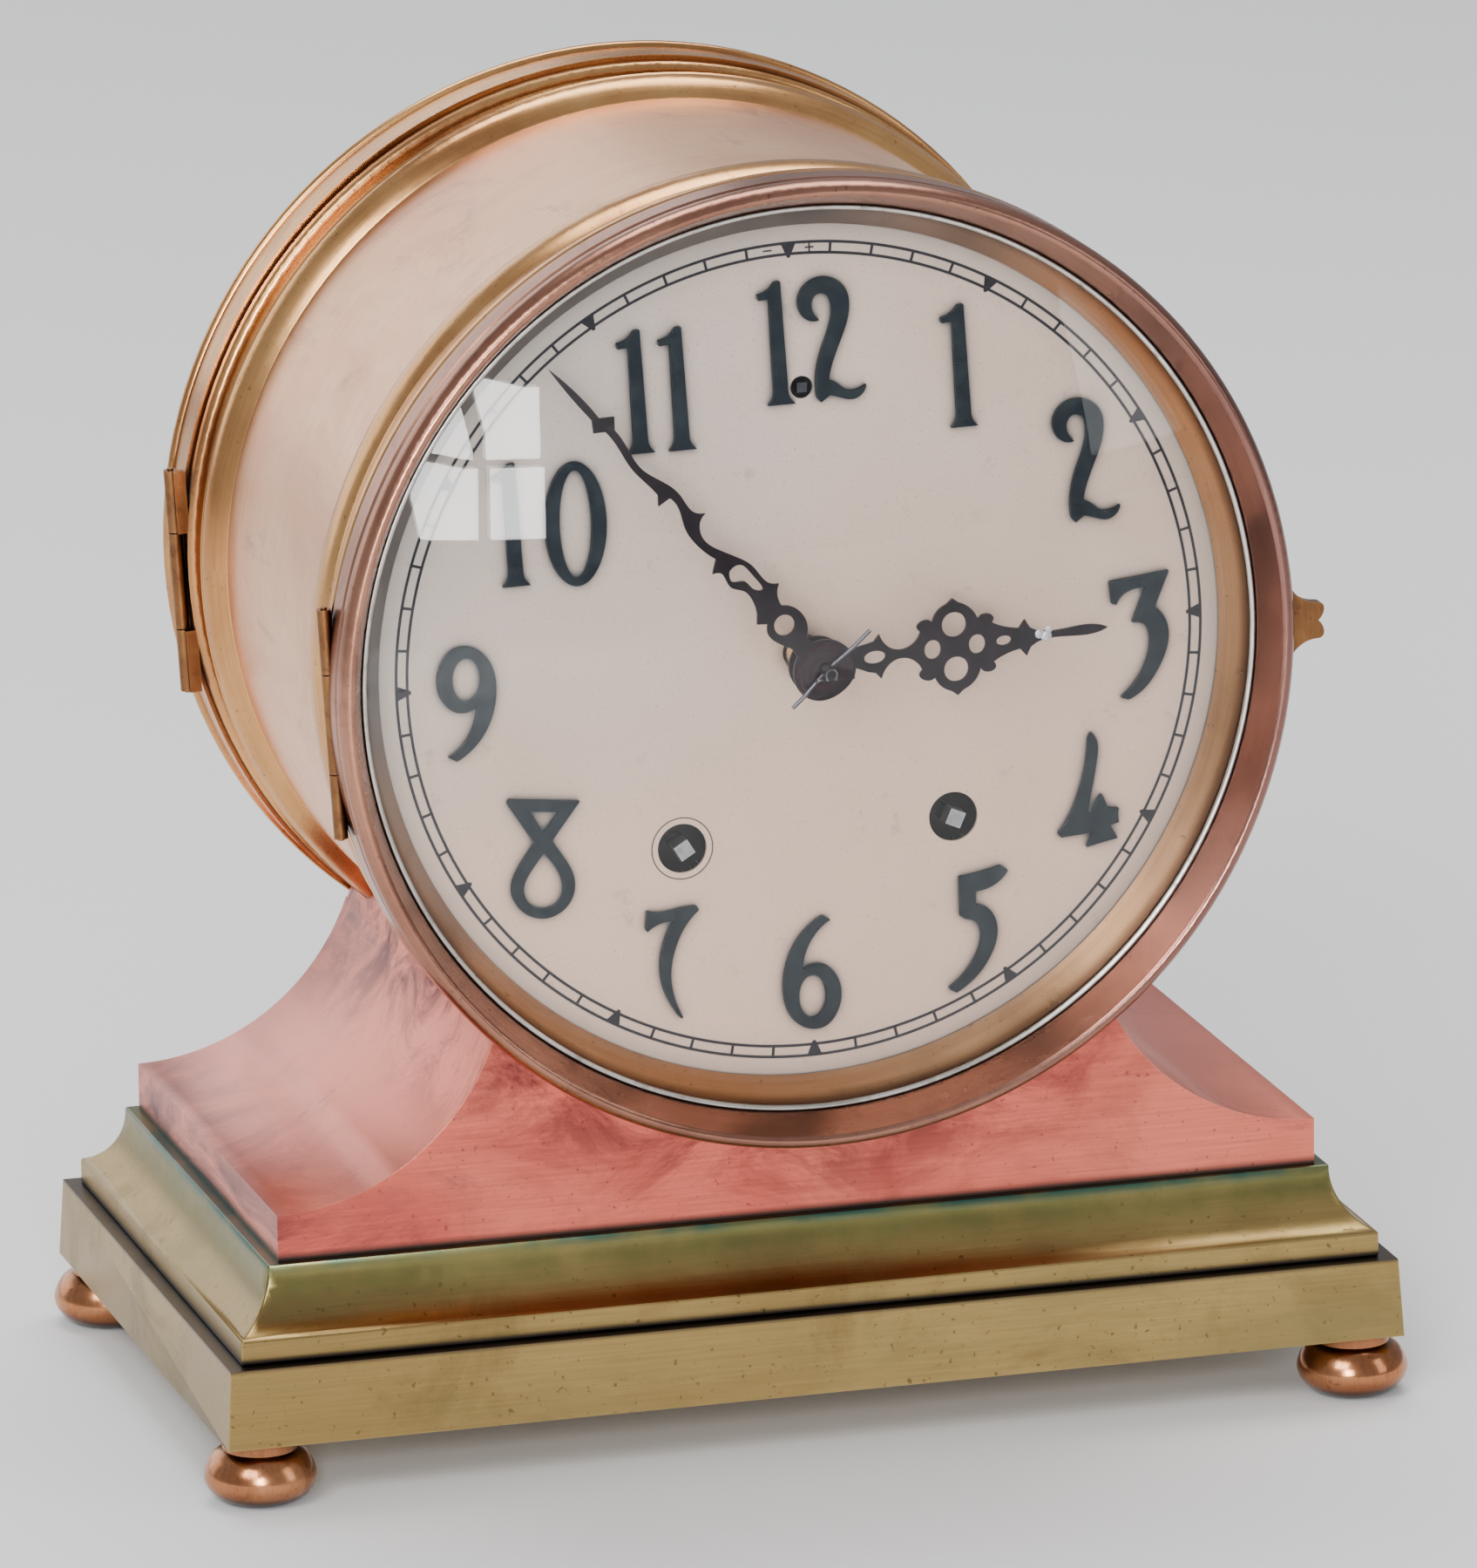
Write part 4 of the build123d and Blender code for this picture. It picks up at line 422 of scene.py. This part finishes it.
# ==== metals of the works ====
def works_brass():
    shade, tone, roughness = old_metal(
        "works_brass", (0.84, 0.58, 0.24), (0.70, 0.46, 0.18), (0.30, 0.16, 0.06),
        rough=0.26, cloud=22, patina=0.3, lengthwise="x")
    return shade.finish(tone, roughness)


def unlit_works_brass():
    """Behind the dial: brass painted brown-black, a painted shade for the unlit works."""
    shade, tone, roughness = old_metal(
        "unlit_works_brass", (0.030, 0.022, 0.016), (0.018, 0.013, 0.010), (0.006, 0.005, 0.004),
        rough=0.45, cloud=30, patina=0.5, wear=False)
    return shade.finish(tone, roughness)


def works_steel():
    """Bright steel, but painted near black just back of the dial, as painted shade."""
    shade, tone, roughness = old_metal(
        "works_steel", (0.42, 0.42, 0.43), (0.30, 0.30, 0.31), (0.10, 0.09, 0.09),
        rough=0.34, cloud=70, patina=0.5, lengthwise="y")
    # Painted shade: the steel is painted near black in a band just back of the dial.
    behind = shade.math("MULTIPLY", shade.span(shade.y, DIAL_Y + 0.0020, DIAL_Y + 0.0032),
                        shade.span(shade.y, DIAL_Y + 0.014, DIAL_Y + 0.012))
    return shade.finish(shade.mix(behind, tone, (0.010, 0.009, 0.009)), roughness)


def blued_steel():
    shade, tone, roughness = old_metal(
        "blued_steel", (0.10, 0.10, 0.12), (0.05, 0.045, 0.06), (0.03, 0.02, 0.025),
        rough=0.30, cloud=80, patina=0.5, lengthwise="y")
    return shade.finish(tone, roughness)


def solder_grey():
    shade = Shade("solder_grey", Metallic=0.6)
    tone = shade.mix(shade.noise(900, 4), (0.30, 0.28, 0.30), (0.62, 0.60, 0.62))
    shade.bump(shade.noise(1500, 3), 0.3, 0.0003)
    return shade.finish(tone, shade.span(shade.noise(700), 0.3, 0.7, 0.4, 0.6))


FINISHES = {
    rosy_copper: ["plinth"],
    pink_drum: ["drum_shell"],
    base_brass: ["base_slab", "base_moulding", "bottom_cover"],
    bead_brass: ["front_collar", "rear_collar", "rear_door_ring", "rear_door_plate", "rear_latch"],
    bezel_bronze: ["bezel_ring"],
    foot_copper: ["feet"],
    reflector_gilt: ["reflector_ring"],
    dull_silver: ["glass_ring"],
    hinge_brass: ["front_hinge_knuckles", "bezel_hinge_knuckle", "rear_hinge_knuckles", "rear_door_knuckle",
                  "finger_tab", "front_hinge_pin", "rear_hinge_pin"],
    dial_silver: ["dial"],
    numeral_paint: ["hour_numerals"],
    hand_black: ["hour_hand", "minute_hand"],
    collet_red: ["hand_collet"],
    clear_glass: ["glass"],
    works_steel: ["time_winding_arbor", "strike_winding_arbor", "foot_studs", "backing_screws",
                  "centre_wheel"],
    blued_steel: ["time_click", "strike_click", "lever", "hammer", "regulator_arbor", "hand_pin"],
    # Painted shade: the parts behind the dial get the near-black brass.
    unlit_works_brass: ["dial_backing", "front_plate", "dial_posts"],
}
dressed = set()
for make, names in FINISHES.items():
    finish = make()
    for name in names:
        nodes[name].data.materials.clear()
        nodes[name].data.materials.append(finish)
        dressed.add(name)
works = works_brass()
for name in set(nodes) - dressed:
    nodes[name].data.materials.clear()
    nodes[name].data.materials.append(works)


# ==== edges: a small worn round on what is sheet or casting ====
def soften(name, width, segments=2):
    piece = nodes[name]
    weld = piece.modifiers.new("join", "WELD")
    weld.merge_threshold = 0.00001
    bevel = piece.modifiers.new("edge", "BEVEL")
    bevel.width = width
    bevel.segments = segments
    bevel.limit_method = "ANGLE"
    bevel.angle_limit = math.radians(40)


for name, width in (("base_slab", 0.0005), ("base_moulding", 0.0005), ("plinth", 0.0005)):
    soften(name, width)


# ==== dial printing ====
PRINT_LIFT = 0.00006
TRACK_OUTER, TRACK_INNER = 0.10235, 0.09894
LINE = 0.00068
WEDGE_HALF, WEDGE_TAIL = 0.0019, 0.0006
RING_STEPS = 240
MARK_ANGLE, MARK_LENGTH, MARK_LINE = 3.0, 0.0022, 0.00036
STRIKE_HOLE, STRIKE_RING, ENGRAVED_LINE = (-0.0318, -0.0462), 0.0077, 0.00024


def dial_point(radius, degrees, lift=PRINT_LIFT, centre=(0.0, 0.0)):
    """A point on the dial, by its angle clockwise from twelve."""
    a = math.radians(degrees)
    u, v = centre[0] + radius * math.sin(a), centre[1] + radius * math.cos(a)
    turn_cos, turn_sin = math.cos(DIAL_TURN), math.sin(DIAL_TURN)
    return Vector((u * turn_cos - v * turn_sin, DIAL_Y - lift, AXIS_Z + u * turn_sin + v * turn_cos))


def slab_face(mesh, corners):
    """One printed shape: a thin slab standing on the dial."""
    back = [mesh.verts.new(p + Vector((0, PRINT_LIFT * 0.9, 0))) for p in corners]
    face = [mesh.verts.new(p) for p in corners]
    count = len(corners)
    mesh.faces.new(face)
    mesh.faces.new(back[::-1])
    for k in range(count):
        j = (k + 1) % count
        mesh.faces.new((face[k], back[k], back[j], face[j]))


def printed_ring(mesh, inner, outer, centre=(0.0, 0.0)):
    """A printed circle, closed round, with its edges standing on the dial."""
    rows = []
    for radius, lift in ((inner, 0.0), (inner, PRINT_LIFT), (outer, PRINT_LIFT), (outer, 0.0)):
        rows.append([
            mesh.verts.new(dial_point(radius, 360 * k / RING_STEPS, lift + PRINT_LIFT * 0.1, centre))
            for k in range(RING_STEPS)
        ])
    for row, after in zip(rows, rows[1:] + rows[:1]):
        for k in range(RING_STEPS):
            j = (k + 1) % RING_STEPS
            mesh.faces.new((row[k], row[j], after[j], after[k]))


def finish_mesh(mesh, name, material, body):
    bmesh.ops.recalc_face_normals(mesh, faces=mesh.faces[:])
    data = bpy.data.meshes.new(name)
    mesh.to_mesh(data)
    mesh.free()
    data.materials.append(material)
    piece = bpy.data.objects.new(name, data)
    bpy.context.scene.collection.objects.link(piece)
    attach(piece, body)
    return piece


def bar(mesh, centre, width, height):
    """A printed bar, by its middle in the dial's own axes."""
    corners = []
    for du, dv in ((-1, -1), (1, -1), (1, 1), (-1, 1)):
        corner = (centre[0] + du * width / 2, centre[1] + dv * height / 2)
        corners.append(dial_point(0, 0, PRINT_LIFT, corner))
    slab_face(mesh, corners)


def minute_track():
    """Two rings, a bar at each minute and a filled wedge at each five."""
    mesh = bmesh.new()
    printed_ring(mesh, TRACK_OUTER - LINE, TRACK_OUTER)
    printed_ring(mesh, TRACK_INNER, TRACK_INNER + LINE)
    for minute in range(60):
        angle = 6 * minute
        half = math.degrees(LINE / 2 / TRACK_OUTER)
        fifth = minute % 5 == 0
        wide = math.degrees(WEDGE_HALF / TRACK_OUTER) if fifth else half
        top = TRACK_OUTER - LINE * 0.5
        foot = TRACK_INNER - WEDGE_TAIL if fifth else TRACK_INNER + LINE * 0.5
        slab_face(mesh, [
            dial_point(top, angle - wide), dial_point(top, angle + wide),
            dial_point(foot, angle + half), dial_point(foot, angle - half),
        ])
    return mesh


ink = dial_ink()
finish_mesh(minute_track(), "minute_track", ink, "case")

marks = bmesh.new()
for side in (-1, 1):
    angle = math.radians(side * MARK_ANGLE)
    mark_radius = (TRACK_OUTER + TRACK_INNER) / 2
    middle = (mark_radius * math.sin(angle), mark_radius * math.cos(angle))
    bar(marks, middle, MARK_LENGTH, MARK_LINE)
    if side > 0:
        bar(marks, middle, MARK_LINE, MARK_LENGTH)
finish_mesh(marks, "regulator_marks", ink, "case")

engraved = bmesh.new()
half_line = ENGRAVED_LINE / 2
printed_ring(engraved, STRIKE_RING - half_line, STRIKE_RING + half_line, STRIKE_HOLE)
finish_mesh(engraved, "winding_hole_ring", ink, "case")


def solder_blob():
    """A few grains of solder where the hour hand's ornament runs into its point."""
    hand = nodes["hour_hand"].data.vertices
    tip = max((v.co for v in hand), key=lambda co: math.hypot(co.x, co.z - AXIS_Z))
    along = Vector((tip.x, 0, tip.z - AXIS_Z)).normalized()
    across = Vector((-along.z, 0, along.x))
    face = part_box("hour_hand")[0][1]
    mesh = bmesh.new()
    for reach, side, size in ((0.0565, 0.0005, 0.0012), (0.0582, -0.0003, 0.0014), (0.0590, 0.0014, 0.0009)):
        middle = Vector((0, face, AXIS_Z)) + reach * along + side * across
        squash = Matrix.Translation(middle) @ Matrix.Diagonal((1, 0.35, 1, 1))
        bmesh.ops.create_icosphere(mesh, subdivisions=2, radius=size, matrix=squash)
    finish_mesh(mesh, "solder_grains", solder_grey(), "hour_hand")


solder_blob()


# ==== studio ====
def make_floor():
    shade = Shade("floor_paper", Roughness=0.9)
    tone = shade.mix(shade.noise(3, 2), (0.93, 0.93, 0.93), (0.95, 0.95, 0.95))
    shade.feed(shade.shader.inputs["Base Color"], tone)
    mesh = bmesh.new()
    bmesh.ops.create_grid(mesh, x_segments=2, y_segments=2, size=6.0)
    data = bpy.data.meshes.new("floor")
    mesh.to_mesh(data)
    mesh.free()
    data.materials.append(shade.material)
    floor = bpy.data.objects.new("floor", data)
    bpy.context.scene.collection.objects.link(floor)


def lamp(name, place, aim, width, height, power, colour=(1, 1, 1)):
    data = bpy.data.lights.new(name, "AREA")
    data.shape = "RECTANGLE"
    data.size, data.size_y = width, height
    data.energy = power
    data.color = colour
    light = bpy.data.objects.new(name, data)
    light.location = place
    light.rotation_euler = (Vector(aim) - Vector(place)).to_track_quat("-Z", "Y").to_euler()
    bpy.context.scene.collection.objects.link(light)


GLASS_EDGE, GLASS_RISE = 0.0026, 0.0211
PANE_X, PANE_Z, PANE_STEP_X, PANE_STEP_Z = -0.091, 0.066, 0.0155, 0.019
PANE_DISTANCE, PANE_WIDTH, PANE_HEIGHT, PANE_POWER = 1.3, 0.13, 0.17, 3.0


def mirrored(x, z, distance):
    """Where a lamp must stand to be seen in the domed glass at a point given from the glass's middle."""
    rim = (glass_high[0] - glass_low[0]) / 2 - GLASS_EDGE
    curve = (rim**2 + GLASS_RISE**2) / (2 * GLASS_RISE)
    spot = Vector((x, glass_low[1] + curve - math.sqrt(curve**2 - x**2 - z**2), AXIS_Z + z))
    normal = (spot - Vector((0, glass_low[1] + curve, AXIS_Z))).normalized()
    ray = (spot - CAMERA_PLACE).normalized()
    return spot + (ray - 2 * ray.dot(normal) * normal) * distance, spot


def make_studio():
    make_floor()
    world = bpy.data.worlds.new("studio")
    world.use_nodes = True
    world.node_tree.nodes["Background"].inputs[0].default_value = (0.93, 0.95, 1.0, 1)
    world.node_tree.nodes["Background"].inputs[1].default_value = 0.42
    bpy.context.scene.world = world
    aim = (0, 0, AXIS_Z)
    lamp("key", (-1.6, -1.9, 1.9), aim, 1.3, 1.0, 40)
    lamp("fill", (1.9, -1.6, 1.1), aim, 0.7, 1.6, 7)
    lamp("top", (0.2, 0.7, 2.2), aim, 1.8, 1.0, 34)
    lamp("back", (-1.3, 3.0, 1.1), aim, 4.2, 1.9, 34)
    for row in range(2):
        for column in range(2):
            x, z = PANE_X + PANE_STEP_X * column, PANE_Z - PANE_STEP_Z * row
            place, spot = mirrored(x, z, PANE_DISTANCE)
            lamp(f"pane_{row}_{column}", place, spot, PANE_WIDTH, PANE_HEIGHT, PANE_POWER)


make_studio()
